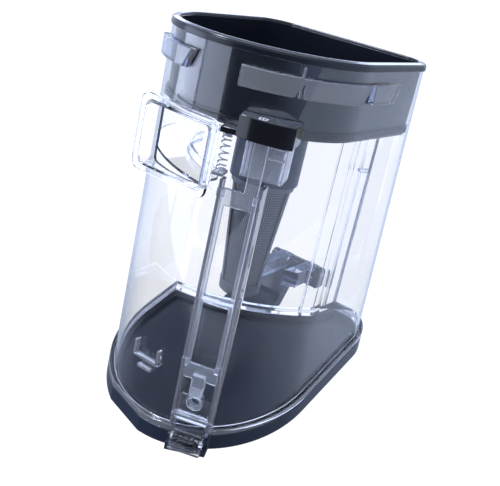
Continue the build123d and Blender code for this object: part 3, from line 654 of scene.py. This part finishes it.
MOULDINGS = (
    Moulding("bin_body", Body.BIN, Slot.CLEAR, CLEAR, edge=0.6,
             walls=((0.0, 1.0), (-PLAN.wall, -1.0)), proud=HAZY),
    Moulding("inlet_duct", Body.BIN, Slot.CLEAR, CLEAR, edge=0.5),
    Moulding("inlet_ramp", Body.BIN, Slot.CLEAR, CLEAR, edge=0.4),
    Moulding("button_housing", Body.BIN, Slot.CLEAR, HAZY, edge=0.6),
    Moulding("push_rod", Body.RELEASE, Slot.ACETAL, ROD_CLEAR, edge=0.6),
    Moulding("filter_tray", Body.BIN, Slot.SLATE, SLATE, edge=0.4),
    # The collar's lighter slate is painted light
    Moulding("cone_collar", Body.BIN, Slot.SLATE, LIT_SLATE_COLLAR, edge=0.4),
    Moulding("cone_frame", Body.BIN, Slot.GREY, CAGE, edge=0.3),
    Moulding("cone_cap", Body.BIN, Slot.GREY, CAGE, edge=0.4),
    # The plain sleeve is painted dark grey as the shade between the wires
    Moulding("cone_mesh", Body.BIN, Slot.MESH, PAINTED_SHADE_BACKING),
    Moulding("cone_screws", Body.BIN, Slot.STEEL, STEEL),
    Moulding("mouth_seal", Body.BIN, Slot.RUBBER, BEAD),
    Moulding("tray_seal", Body.BIN, Slot.RUBBER, RUBBER),
    Moulding("door_seal", Body.DOOR, Slot.RUBBER, RUBBER),
    Moulding("door", Body.DOOR, Slot.SLATE, DARK, edge=0.5),
    Moulding("hinge_pin", Body.BIN, Slot.STEEL, STEEL),
    Moulding("latch", Body.LATCH, Slot.CLEAR, CLEAR, edge=0.34),
    Moulding("latch_pin", Body.BIN, Slot.STEEL, STEEL),
    Moulding("latch_spring", Body.BIN, Slot.STEEL, STEEL),
    Moulding("release_button", Body.RELEASE, Slot.BLACK, BLACK, edge=0.8),
    Moulding("button_spring", Body.BIN, Slot.STEEL, STEEL),
)


@dataclass(frozen=True)
class MouthBead:
    """Soft bead that runs round the mouth of the bin.

    Attributes:
        section: corners of the bead as outward growth and height, in millimetres.
        crease: degrees between faces above which an edge shows sharp.
    """

    section: tuple[tuple[float, float], ...] = (
        (0.9, 280.8), (0.9, 281.5), (0.62, 281.95), (0.1, 282.2), (-1.2, 282.45), (-1.9, 282.7),
        (-2.5, 282.92), (-3.2, 283.0), (-3.9, 282.92), (-4.4, 282.65), (-4.7, 282.2), (-4.7, 280.8),
    )
    crease: float = 40.0

    def build(self, paints: Paints) -> None:
        """Sweep the section round the plan.

        Args:
            paints: the shared materials.
        """
        rings = [PLAN.loop(z, grow) for grow, z in self.section]
        count = len(rings[0])
        faces = []
        for ring in range(len(rings)):
            here = ring * count
            there = (ring + 1) % len(rings) * count
            for step in range(count):
                ahead = (step + 1) % count
                faces.append((here + step, here + ahead, there + ahead, there + step))
        mesh = bpy.data.meshes.new("mouth_bead")
        mesh.from_pydata([point for ring in rings for point in ring], [], faces)
        skin = bmesh.new()
        skin.from_mesh(mesh)
        bmesh.ops.recalc_face_normals(skin, faces=skin.faces)
        skin.to_mesh(mesh)
        skin.free()
        mesh.shade_smooth()
        mesh.set_sharp_from_angle(angle=math.radians(self.crease))
        mesh.materials.append(paints.of(BEAD))
        place_piece("mouth_bead", mesh, Body.BIN, ["mouth_seal"])


class Graph:
    """A Geometry Nodes tree with named inputs.

    Attributes:
        tree: the node tree.
        add: adds a node to the tree, as add_node does.
        sizes: input names with their values.
        keys: input names with the identifiers of their sockets.
        size: sockets of the named inputs.
    """

    def __init__(self, name: str, sizes: dict[str, float | int]) -> None:
        """Start the tree.

        Args:
            name: the tree's name.
            sizes: input names with their values; whole numbers become integer inputs.
        """
        self.tree = bpy.data.node_groups.new(name, "GeometryNodeTree")
        self.add: Callable[..., bpy.types.Node] = partial(add_node, self.tree)
        self.sizes = sizes
        self.keys: dict[str, str] = {}
        for label, value in sizes.items():
            kind = "NodeSocketInt" if isinstance(value, int) else "NodeSocketFloat"
            item = self.tree.interface.new_socket(name=label, in_out="INPUT", socket_type=kind)
            self.keys[label] = item.identifier
        outcome = "NodeSocketGeometry"
        self.tree.interface.new_socket(name="Geometry", in_out="OUTPUT", socket_type=outcome)
        self.size = self.add("NodeGroupInput").outputs

    def mesh(self, shape: bpy.types.NodeSocket, material: bpy.types.Material) -> bpy.types.Mesh:
        """Finish the tree and take its mesh.

        Args:
            shape: the socket with the geometry.
            material: the material of every face.

        Returns:
            The mesh, around the origin.
        """
        whole = self.add("GeometryNodeRealizeInstances", {"Geometry": shape}).outputs["Geometry"]
        painted = self.add("GeometryNodeSetMaterial", {"Geometry": whole, "Material": material})
        self.add("NodeGroupOutput", {"Geometry": painted.outputs["Geometry"]})
        name = self.tree.name
        carrier = bpy.data.objects.new(name, bpy.data.meshes.new(name))
        bpy.context.scene.collection.objects.link(carrier)
        modifier = carrier.modifiers.new(name, "NODES")
        modifier.node_group = self.tree
        for label, value in self.sizes.items():
            modifier[self.keys[label]] = value
        return baked(carrier)


@dataclass(frozen=True)
class WireSpring:
    """A compression spring of round wire with closed ends. Sizes in millimetres.

    Attributes:
        node: the CAD node that it stands for.
        foot: middle of the foot in the row frame, in metres.
        along: direction of the spring's axis.
        length: free length between the middles of the end wires.
        radius: radius of the coil to the middle of the wire.
        wire: radius of the wire.
        turns: number of turns.
        joint: joint that presses the spring; not used.
        keep: share of its length that is left at the joint's limit; not used.
        steps: points along one turn.
        sides: sides of the wire.
        closing: how far the pitch fades at the ends, where 1 closes the end turns wholly.
        crease: degrees between faces above which an edge shows sharp.
    """

    node: str
    foot: Vector
    along: Vector
    length: float
    radius: float
    wire: float
    turns: float
    joint: str
    keep: float
    steps: int = 28
    sides: int = 10
    closing: float = 0.72
    crease: float = 50.0

    def build(self, paints: Paints) -> None:
        """Coil the wire and place it.

        Args:
            paints: the shared materials.
        """
        sizes = {"Turns": self.turns, "Radius": self.radius * MM, "Length": self.length * MM,
                 "Wire": self.wire * MM, "Steps": int(self.turns * self.steps)}
        graph = Graph(f"{self.node}_wire", sizes)
        size = graph.size
        coil = {"Resolution": size["Steps"], "Rotations": size["Turns"], "Start Radius": size["Radius"],
                "End Radius": size["Radius"], "Height": 0.0}
        spiral = graph.add("GeometryNodeCurveSpiral", coil)
        # The pitch fades at both ends, so that the end turns lie nearly closed
        share = graph.add("GeometryNodeSplineParameter").outputs["Factor"]
        angle = graph.add("ShaderNodeMath", {0: share, 1: 2.0 * math.pi}, operation="MULTIPLY")
        wave = graph.add("ShaderNodeMath", {0: angle}, operation="SINE")
        swell = self.closing / (2.0 * math.pi)
        fade = graph.add("ShaderNodeMath", {0: wave, 1: swell}, operation="MULTIPLY")
        rise = graph.add("ShaderNodeMath", {0: share, 1: fade}, operation="SUBTRACT")
        climb = graph.add("ShaderNodeMath", {0: rise, 1: size["Length"]}, operation="MULTIPLY")
        lift = graph.add("ShaderNodeCombineXYZ", {"Z": climb})
        raised = {"Geometry": spiral.outputs["Curve"], "Offset": lift.outputs["Vector"]}
        path = graph.add("GeometryNodeSetPosition", raised).outputs["Geometry"]
        section = {"Resolution": self.sides, "Radius": size["Wire"]}
        ring = graph.add("GeometryNodeCurvePrimitiveCircle", section).outputs["Curve"]
        sweep = {"Curve": path, "Profile Curve": ring, "Fill Caps": True}
        wire = graph.add("GeometryNodeCurveToMesh", sweep).outputs["Mesh"]
        mesh = graph.mesh(wire, paints.of(STEEL))
        turn = self.along.to_track_quat("Z", "Y").to_matrix().to_4x4()
        mesh.transform(Matrix.Translation(self.foot) @ turn)
        mesh.shade_smooth()
        mesh.set_sharp_from_angle(angle=math.radians(self.crease))
        piece = place_piece(f"{self.node}_wire", mesh, Body.BIN, [self.node])
        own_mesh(piece)


@dataclass(frozen=True)
class WovenSleeve:
    """Wire cloth round the plain sleeve inside the cone's cage. Sizes in millimetres.

    Real cloth is finer: it is drawn as coarse as it needs to be for its wires to show.

    Attributes:
        low: height of the lower end along the bin's axis.
        high: height of the upper end.
        radius: radius of the cloth's middle at the lower and upper ends.
        warp: number of wires that run up the cone; an even number.
        weft: number of wires that run round it.
        wire: radius of a wire.
        ripple: how far a wire swings in and out as it passes the others.
        sides: sides of a wire.
    """

    low: float = 72.8
    high: float = 166.8
    radius: tuple[float, float] = (15.7, 24.56)
    warp: int = 84
    weft: int = 62
    wire: float = 0.15
    ripple: float = 0.08
    sides: int = 4

    def build(self, paints: Paints) -> None:
        """Weave both sets of wires and place them on the cone.

        Args:
            paints: the shared materials.
        """
        sizes = {"Low Radius": self.radius[0] * MM, "High Radius": self.radius[1] * MM,
                 "Height": (self.high - self.low) * MM, "Wire": self.wire * MM,
                 "Ripple": self.ripple * MM, "Warp": self.warp, "Weft": self.weft}
        graph = Graph("woven_sleeve", sizes)
        size = graph.size
        along = graph.add("GeometryNodeCurvePrimitiveLine", {"End": (0.0, 0.0, 1.0)}).outputs["Curve"]
        bends = graph.add("ShaderNodeMath", {0: size["Weft"], 1: 2.0}, operation="MULTIPLY")
        beads = graph.add("ShaderNodeMath", {0: bends, 1: 1.0}, operation="ADD")
        line = graph.add("GeometryNodeResampleCurve", {"Curve": along, "Count": beads}).outputs["Curve"]
        beats = graph.add("ShaderNodeMath", {0: size["Warp"], 1: 2.0}, operation="MULTIPLY")
        around = graph.add("GeometryNodeCurvePrimitiveCircle", {"Resolution": beats}).outputs["Curve"]
        up = self.strands(graph, line, size["Warp"], upright=True)
        level = self.strands(graph, around, size["Weft"], upright=False)
        both = graph.add("GeometryNodeJoinGeometry", {"Geometry": up})
        graph.tree.links.new(level, both.inputs["Geometry"])
        section = {"Resolution": self.sides, "Radius": size["Wire"]}
        ring = graph.add("GeometryNodeCurvePrimitiveCircle", section).outputs["Curve"]
        sweep = {"Curve": both.outputs["Geometry"], "Profile Curve": ring, "Fill Caps": True}
        cloth = graph.add("GeometryNodeCurveToMesh", sweep).outputs["Mesh"]
        mesh = graph.mesh(cloth, paints.of(WIRE))
        mesh.transform(Matrix.Translation(bin_point(0.0, 0.0, self.low)) @ BIN_TO_ROW)
        mesh.shade_smooth()
        place_piece("woven_sleeve", mesh, Body.BIN)

    def strands(
        self, graph: Graph, curve: bpy.types.NodeSocket, count: bpy.types.NodeSocket, upright: bool
    ) -> bpy.types.NodeSocket:
        """Copy one wire and bend every copy to its place in the weave.

        Args:
            graph: the tree to add to.
            curve: one wire.
            count: number of wires.
            upright: whether the wires run up the cone.

        Returns:
            The socket with the bent wires.
        """
        size = graph.size
        spots = graph.add("GeometryNodePoints", {"Count": count}).outputs["Points"]
        copies = graph.add("GeometryNodeInstanceOnPoints", {"Points": spots, "Instance": curve})
        number = graph.add("GeometryNodeInputIndex").outputs["Index"]
        marked = graph.add(
            "GeometryNodeStoreNamedAttribute",
            {"Geometry": copies.outputs["Instances"], "Name": "strand", "Value": number},
            data_type="FLOAT", domain="INSTANCE",
        ).outputs["Geometry"]
        loose = graph.add("GeometryNodeRealizeInstances", {"Geometry": marked}).outputs["Geometry"]
        named = graph.add("GeometryNodeInputNamedAttribute", {"Name": "strand"}, data_type="FLOAT")
        strand = named.outputs["Attribute"]
        run = graph.add("GeometryNodeSplineParameter").outputs["Factor"]
        # Where each point lies: its share of the height, and of the turn round the cone
        if upright:
            share = run
            turn = graph.add("ShaderNodeMath", {0: strand, 1: size["Warp"]}, operation="DIVIDE")
        else:
            middle = graph.add("ShaderNodeMath", {0: strand, 1: 0.5}, operation="ADD")
            share = graph.add("ShaderNodeMath", {0: middle, 1: size["Weft"]}, operation="DIVIDE")
            turn = run
        angle = graph.add("ShaderNodeMath", {0: turn, 1: 2.0 * math.pi}, operation="MULTIPLY")
        # Each wire swings out where its neighbour swings in
        crossed = size["Weft"] if upright else size["Warp"]
        passes = graph.add("ShaderNodeMath", {0: run, 1: crossed}, operation="MULTIPLY")
        beat = graph.add("ShaderNodeMath", {0: passes, 1: strand}, operation="ADD")
        phase = graph.add("ShaderNodeMath", {0: beat, 1: math.pi}, operation="MULTIPLY")
        wave = graph.add("ShaderNodeMath", {0: phase}, operation="SINE" if upright else "COSINE")
        swing = graph.add("ShaderNodeMath", {0: wave, 1: size["Ripple"]}, operation="MULTIPLY")
        ends = {0: size["High Radius"], 1: size["Low Radius"]}
        flare = graph.add("ShaderNodeMath", ends, operation="SUBTRACT")
        widen = graph.add("ShaderNodeMath", {0: share, 1: flare}, operation="MULTIPLY")
        slope = graph.add("ShaderNodeMath", {0: size["Low Radius"], 1: widen}, operation="ADD")
        side = "ADD" if upright else "SUBTRACT"
        reach = graph.add("ShaderNodeMath", {0: slope, 1: swing}, operation=side)
        cosine = graph.add("ShaderNodeMath", {0: angle}, operation="COSINE")
        sine = graph.add("ShaderNodeMath", {0: angle}, operation="SINE")
        x = graph.add("ShaderNodeMath", {0: reach, 1: cosine}, operation="MULTIPLY")
        y = graph.add("ShaderNodeMath", {0: reach, 1: sine}, operation="MULTIPLY")
        z = graph.add("ShaderNodeMath", {0: share, 1: size["Height"]}, operation="MULTIPLY")
        spot = graph.add("ShaderNodeCombineXYZ", {"X": x, "Y": y, "Z": z})
        moved = {"Geometry": loose, "Position": spot.outputs["Vector"]}
        return graph.add("GeometryNodeSetPosition", moved).outputs["Geometry"]


@dataclass(frozen=True)
class ReleaseColumn:
    """Frame of the release column on the front wall. Sizes in millimetres.

    Attributes:
        angle: degrees from the front towards the right.
        out: distance of the column's face from the bin's axis.
        shift: sideways place of the column's middle.
    """

    angle: float = 21.0
    out: float = 99.0
    shift: float = 6.0

    def axes(self) -> tuple[Vector, Vector, Vector]:
        """Give the directions across, up the bin and outward.

        Returns:
            Three unit vectors in the row frame.
        """
        turn = math.radians(self.angle)
        across = bin_point(math.cos(turn), math.sin(turn), 0.0).normalized()
        outward = bin_point(math.sin(turn), -math.cos(turn), 0.0).normalized()
        return across, bin_point(0.0, 0.0, 1.0).normalized(), outward

    def point(self, across: float, up: float, outward: float) -> Vector:
        """Place a point by millimetres across, up and out from the column, in the row frame."""
        sideways, upward, out = self.axes()
        return (sideways * (self.shift + across) + upward * up + out * (self.out + outward)) * MM

    def springs(self) -> tuple[WireSpring, WireSpring]:
        """Describe the button's return spring and the spring behind the latch.

        Returns:
            The two springs.
        """
        _, upward, out = self.axes()
        under_button = WireSpring(
            "button_spring", self.point(-17.0, 194.5, 8.0), upward, length=27.0, radius=3.1, wire=0.5,
            turns=9.0, joint="button_slide", keep=0.77,
        )
        behind_latch = WireSpring(
            "latch_spring", self.point(0.0, 11.8, 1.3), out, length=5.6, radius=4.3, wire=0.45,
            turns=4.0, joint="latch_turn", keep=0.24,
        )
        return under_button, behind_latch


@dataclass(frozen=True)
class BinMark:
    """Small printed bin sign on top of the button, in bars. Sizes in millimetres.

    Attributes:
        column: frame of the release column.
        across: middle of the sign across the column.
        outward: middle of the sign outward from the column.
        top: height of the button's top face.
        thick: height of the ink's top above the button.
        gap: gap between the button and the ink.
    """

    column: ReleaseColumn
    across: float = 6.0
    outward: float = 13.5
    top: float = 238.0
    thick: float = 0.12
    gap: float = 0.01

    def build(self, paints: Paints) -> None:
        """Lay the bars on the button.

        Args:
            paints: the shared materials.
        """
        # Middle and size of each bar: lid, handle, foot, then three uprights
        bars = ((0.0, -2.6, 7.0, 0.8), (0.0, -3.7, 2.4, 0.7), (0.0, 3.6, 4.8, 0.8),
                (-2.4, 0.5, 0.8, 6.0), (0.0, 0.5, 0.8, 4.6), (2.4, 0.5, 0.8, 6.0))
        shape = bmesh.new()
        for x, y, wide, tall in bars:
            corners = [(x - wide / 2, y - tall / 2), (x + wide / 2, y - tall / 2),
                       (x + wide / 2, y + tall / 2), (x - wide / 2, y + tall / 2)]
            low = [shape.verts.new(self.spot(u, v, self.gap)) for u, v in corners]
            high = [shape.verts.new(self.spot(u, v, self.thick)) for u, v in corners]
            shape.faces.new(low)
            shape.faces.new(high)
            for side in range(4):
                ahead = (side + 1) % 4
                shape.faces.new((low[side], low[ahead], high[ahead], high[side]))
        bmesh.ops.recalc_face_normals(shape, faces=shape.faces)
        mesh = bpy.data.meshes.new("button_mark")
        shape.to_mesh(mesh)
        shape.free()
        mesh.materials.append(paints.of(INK))
        place_piece("button_mark", mesh, Body.RELEASE)

    def spot(self, right: float, near: float, lift: float) -> Vector:
        """Place a point by millimetres right, outward and up from the sign's middle."""
        return self.column.point(self.across + right, self.top + lift, self.outward + near)


@dataclass(frozen=True)
class Panel:
    """A soft light panel.

    Attributes:
        name: the light's name.
        place: where it stands, in metres.
        size: width and height in metres.
        radiance: brightness of its face, where 1 is white.
        colour: its colour as sRGB hex.
    """

    name: str
    place: tuple[float, float, float]
    size: tuple[float, float]
    radiance: float
    colour: str = "#dde8ff"

    def build(self, target: Vector) -> None:
        """Add the light, facing a point.

        Args:
            target: the point that it faces.
        """
        light = bpy.data.lights.new(self.name, "AREA")
        light.shape = "RECTANGLE"
        light.size, light.size_y = self.size
        light.energy = self.radiance * math.pi * self.size[0] * self.size[1]
        light.color = linear(self.colour)[:3]
        lamp = bpy.data.objects.new(self.name, light)
        lamp.location = self.place
        lamp.rotation_euler = (target - Vector(self.place)).to_track_quat("-Z", "Y").to_euler()
        lamp.visible_camera = False
        bpy.context.scene.collection.objects.link(lamp)


PANELS = (
    Panel("top_panel", place=(0.1, 0.0, 1.3), size=(1.4, 1.4), radiance=1.1),
    # Narrow bright strip whose mirror image draws the white lines on rounded edges
    Panel("edge_strip", place=(-0.56, -0.05, 1.2), size=(0.8, 0.1), radiance=36.0),
    Panel("left_panel", place=(-1.0, -0.5, 0.26), size=(0.62, 0.5), radiance=2.9),
    Panel("front_left_panel", place=(-0.55, -0.95, 0.26), size=(0.6, 0.5), radiance=1.7),
    Panel("back_panel", place=(-0.5, 1.0, 0.3), size=(1.1, 0.26), radiance=3.2),
)


@dataclass
class Studio:
    """Floor, surroundings, lights and camera.

    Attributes:
        eye: camera place in metres.
        target: point that the camera looks at, in metres.
        lens: focal length in millimetres on a 36 mm wide sensor.
    """

    eye: Vector
    target: Vector
    lens: float

    def build(self) -> None:
        """Make the whole studio."""
        self.floor()
        self.world()
        for panel in PANELS:
            panel.build(self.target)
        self.camera()
        bpy.context.scene.view_settings.view_transform = "Standard"

    def floor(self) -> None:
        """Lay a wide white floor that stays white to the eye and through clear plastic."""
        mesh = bpy.data.meshes.new("floor")
        reach = 4.0
        corners = [(-reach, -reach, 0), (reach, -reach, 0), (reach, reach, 0), (-reach, reach, 0)]
        mesh.from_pydata(corners, [], [(0, 1, 2, 3)])
        floor = bpy.data.objects.new("floor", mesh)
        bpy.context.scene.collection.objects.link(floor)
        material = bpy.data.materials.new("white_paper")
        material.use_nodes = True
        tree = material.node_tree
        shader = tree.nodes["Principled BSDF"]
        shader.inputs["Base Color"].default_value = linear("#f4f5f7")
        shader.inputs["Roughness"].default_value = 0.9
        shader.inputs["Specular IOR Level"].default_value = 0.0
        # In reflections the floor glows with painted light and shade: a round patch of painted shade in
        # front, and pale painted light over the rest
        straight = self.looked_through(tree)
        spot = add_node(tree, "ShaderNodeTexCoord").outputs["Object"]
        away = add_node(tree, "ShaderNodeVectorMath", {0: spot, 1: SHADE_PATCH_MIDDLE}, operation="DISTANCE")
        near, far = SHADE_PATCH_REACH
        fade = {"Value": away.outputs["Value"], "From Min": near, "From Max": far}
        share = add_node(tree, "ShaderNodeMapRange", fade)
        # Dark blue painted shade in the middle of the patch, and pale blue painted light beyond it
        tones = ((0.0, linear("#343f5c")), (1.0, linear("#cbdaf7")))
        card = add_node(tree, "ShaderNodeValToRGB", {"Fac": share}, tones)
        lit = {"Fac": self.piped(tree), "Color1": card, "Color2": linear("#ffffff")}
        painted_reflection = add_node(tree, "ShaderNodeMixRGB", lit)
        seen = (SEEN_WHITE, SEEN_WHITE, SEEN_WHITE, 1.0)
        tone = add_node(tree, "ShaderNodeMixRGB", {"Fac": straight, "Color1": painted_reflection, "Color2": seen})
        glow = add_node(tree, "ShaderNodeEmission", {"Color": tone})
        mixed = {"Fac": FLOOR_GLOW, 1: shader, 2: glow}
        mix = add_node(tree, "ShaderNodeMixShader", mixed)
        tree.links.new(mix.outputs["Shader"], tree.nodes["Material Output"].inputs["Surface"])
        mesh.materials.append(material)

    def world(self) -> None:
        """Set a room that is white to the eye, dark in front and blue-grey for clear edges."""
        world = bpy.data.worlds.new("white_room")
        bpy.context.scene.world = world
        world.use_nodes = True
        tree = world.node_tree
        way = add_node(tree, "ShaderNodeTexCoord").outputs["Generated"]
        height = add_node(tree, "ShaderNodeSeparateXYZ", {"Vector": way}).outputs["Z"]
        level = {"Value": height, "From Min": -1.0}
        share = add_node(tree, "ShaderNodeMapRange", level)
        sky = ((0.42, linear("#8596c6")), (0.6, linear("#a9bbe4")), (0.9, linear("#e0e9fb")))
        room = add_node(tree, "ShaderNodeValToRGB", {"Fac": share}, sky)
        # A dark card in front keeps the tray deep, and a faint one high at the back calms the door
        front = self.card(tree, way, (0.2, -0.98, 0.0), edge=0.42, middle=0.88, dark=0.2)
        rear = self.card(tree, way, (-0.49, 0.64, 0.6), edge=0.93, middle=0.99, dark=0.75)
        cards = add_node(tree, "ShaderNodeMath", {0: front, 1: rear}, operation="MULTIPLY")
        # Light that has turned twice inside clear plastic comes out bright
        often = {0: self.piped(tree), 1: PIPED_LIGHT}
        piped = add_node(tree, "ShaderNodeMath", often, operation="MULTIPLY")
        strength = add_node(tree, "ShaderNodeMath", {0: cards, 1: piped}, operation="MAXIMUM")
        around = add_node(tree, "ShaderNodeBackground", {"Color": room, "Strength": strength})
        rims = ((0.62, linear("#ffffff")), (0.82, linear("#a3afca")))
        edge = add_node(tree, "ShaderNodeValToRGB", {"Fac": share}, rims)
        through = add_node(tree, "ShaderNodeBackground", {"Color": edge, "Strength": SEEN_WHITE})
        white = add_node(tree, "ShaderNodeBackground", {"Color": linear("#ffffff")})
        clear = {"Fac": self.looked_through(tree), 1: around, 2: through}
        inside = add_node(tree, "ShaderNodeMixShader", clear)
        path = add_node(tree, "ShaderNodeLightPath").outputs
        direct = {"Fac": path["Is Camera Ray"], 1: inside, 2: white}
        whole = add_node(tree, "ShaderNodeMixShader", direct)
        tree.links.new(whole.outputs["Shader"], tree.nodes["World Output"].inputs["Surface"])

    @staticmethod
    def card(
        tree: bpy.types.NodeTree, way: bpy.types.NodeSocket, facing: tuple[float, float, float],
        edge: float, middle: float, dark: float,
    ) -> bpy.types.Node:
        """Darken the surroundings about one direction.

        Args:
            tree: the node tree to add to.
            way: the direction that is looked up.
            facing: the middle of the card.
            edge: cosine of the angle at which it starts.
            middle: cosine of the angle at which it is darkest.
            dark: brightness that is left there.

        Returns:
            A node that gives 1 away from the card and less on it.
        """
        along = add_node(tree, "ShaderNodeVectorMath", {0: way, 1: facing}, operation="DOT_PRODUCT")
        cosine = along.outputs["Value"]
        fade = {"Value": cosine, "From Min": edge, "From Max": middle, "To Min": 1.0, "To Max": dark}
        return add_node(tree, "ShaderNodeMapRange", fade)

    @staticmethod
    def piped(tree: bpy.types.NodeTree) -> bpy.types.Node:
        """Give 1 for rays that have been mirrored more than once, and 0 for the others."""
        depth = add_node(tree, "ShaderNodeLightPath").outputs["Glossy Depth"]
        return add_node(tree, "ShaderNodeMath", {0: depth, 1: PIPED_BOUNCES}, operation="GREATER_THAN")

    @staticmethod
    def looked_through(tree: bpy.types.NodeTree) -> bpy.types.Node:
        """Tell rays that come straight to the eye or only through clear plastic.

        Args:
            tree: the node tree to add to.

        Returns:
            A node that gives 1 for those rays and 0 for the others.
        """
        path = add_node(tree, "ShaderNodeLightPath").outputs
        depths = {0: path["Glossy Depth"], 1: path["Diffuse Depth"]}
        turns = add_node(tree, "ShaderNodeMath", depths, operation="ADD")
        return add_node(tree, "ShaderNodeMath", {0: turns, 1: STRAIGHT_BOUNCES}, operation="LESS_THAN")

    def camera(self) -> None:
        """Set the camera at the photograph's angle."""
        data = bpy.data.cameras.new("studio_camera")
        data.lens = self.lens
        data.sensor_width = 36.0
        camera = bpy.data.objects.new("studio_camera", data)
        camera.location = self.eye
        camera.rotation_euler = (self.target - self.eye).to_track_quat("-Z", "Y").to_euler()
        bpy.context.scene.collection.objects.link(camera)
        bpy.context.scene.camera = camera


def main() -> None:
    """Load the frame, finish every surface, add the fine pieces and set the studio."""
    logging.basicConfig(level=logging.INFO)
    for thing in list(bpy.data.objects):
        bpy.data.objects.remove(thing)
    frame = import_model()
    paints = Paints()
    for moulding in MOULDINGS:
        moulding.build(frame["nodes"][moulding.node], paints)
    column = ReleaseColumn()
    for spring in column.springs():
        spring.build(paints)
    MouthBead().build(paints)
    WovenSleeve().build(paints)
    BinMark(column).build(paints)
    Studio(
        eye=Vector((0.3460, -0.4102, 0.5237)),
        target=Vector((0.01881, 0.01449, 0.12477)),
        lens=60.39,
    ).build()


if __name__ == "__main__":
    main()
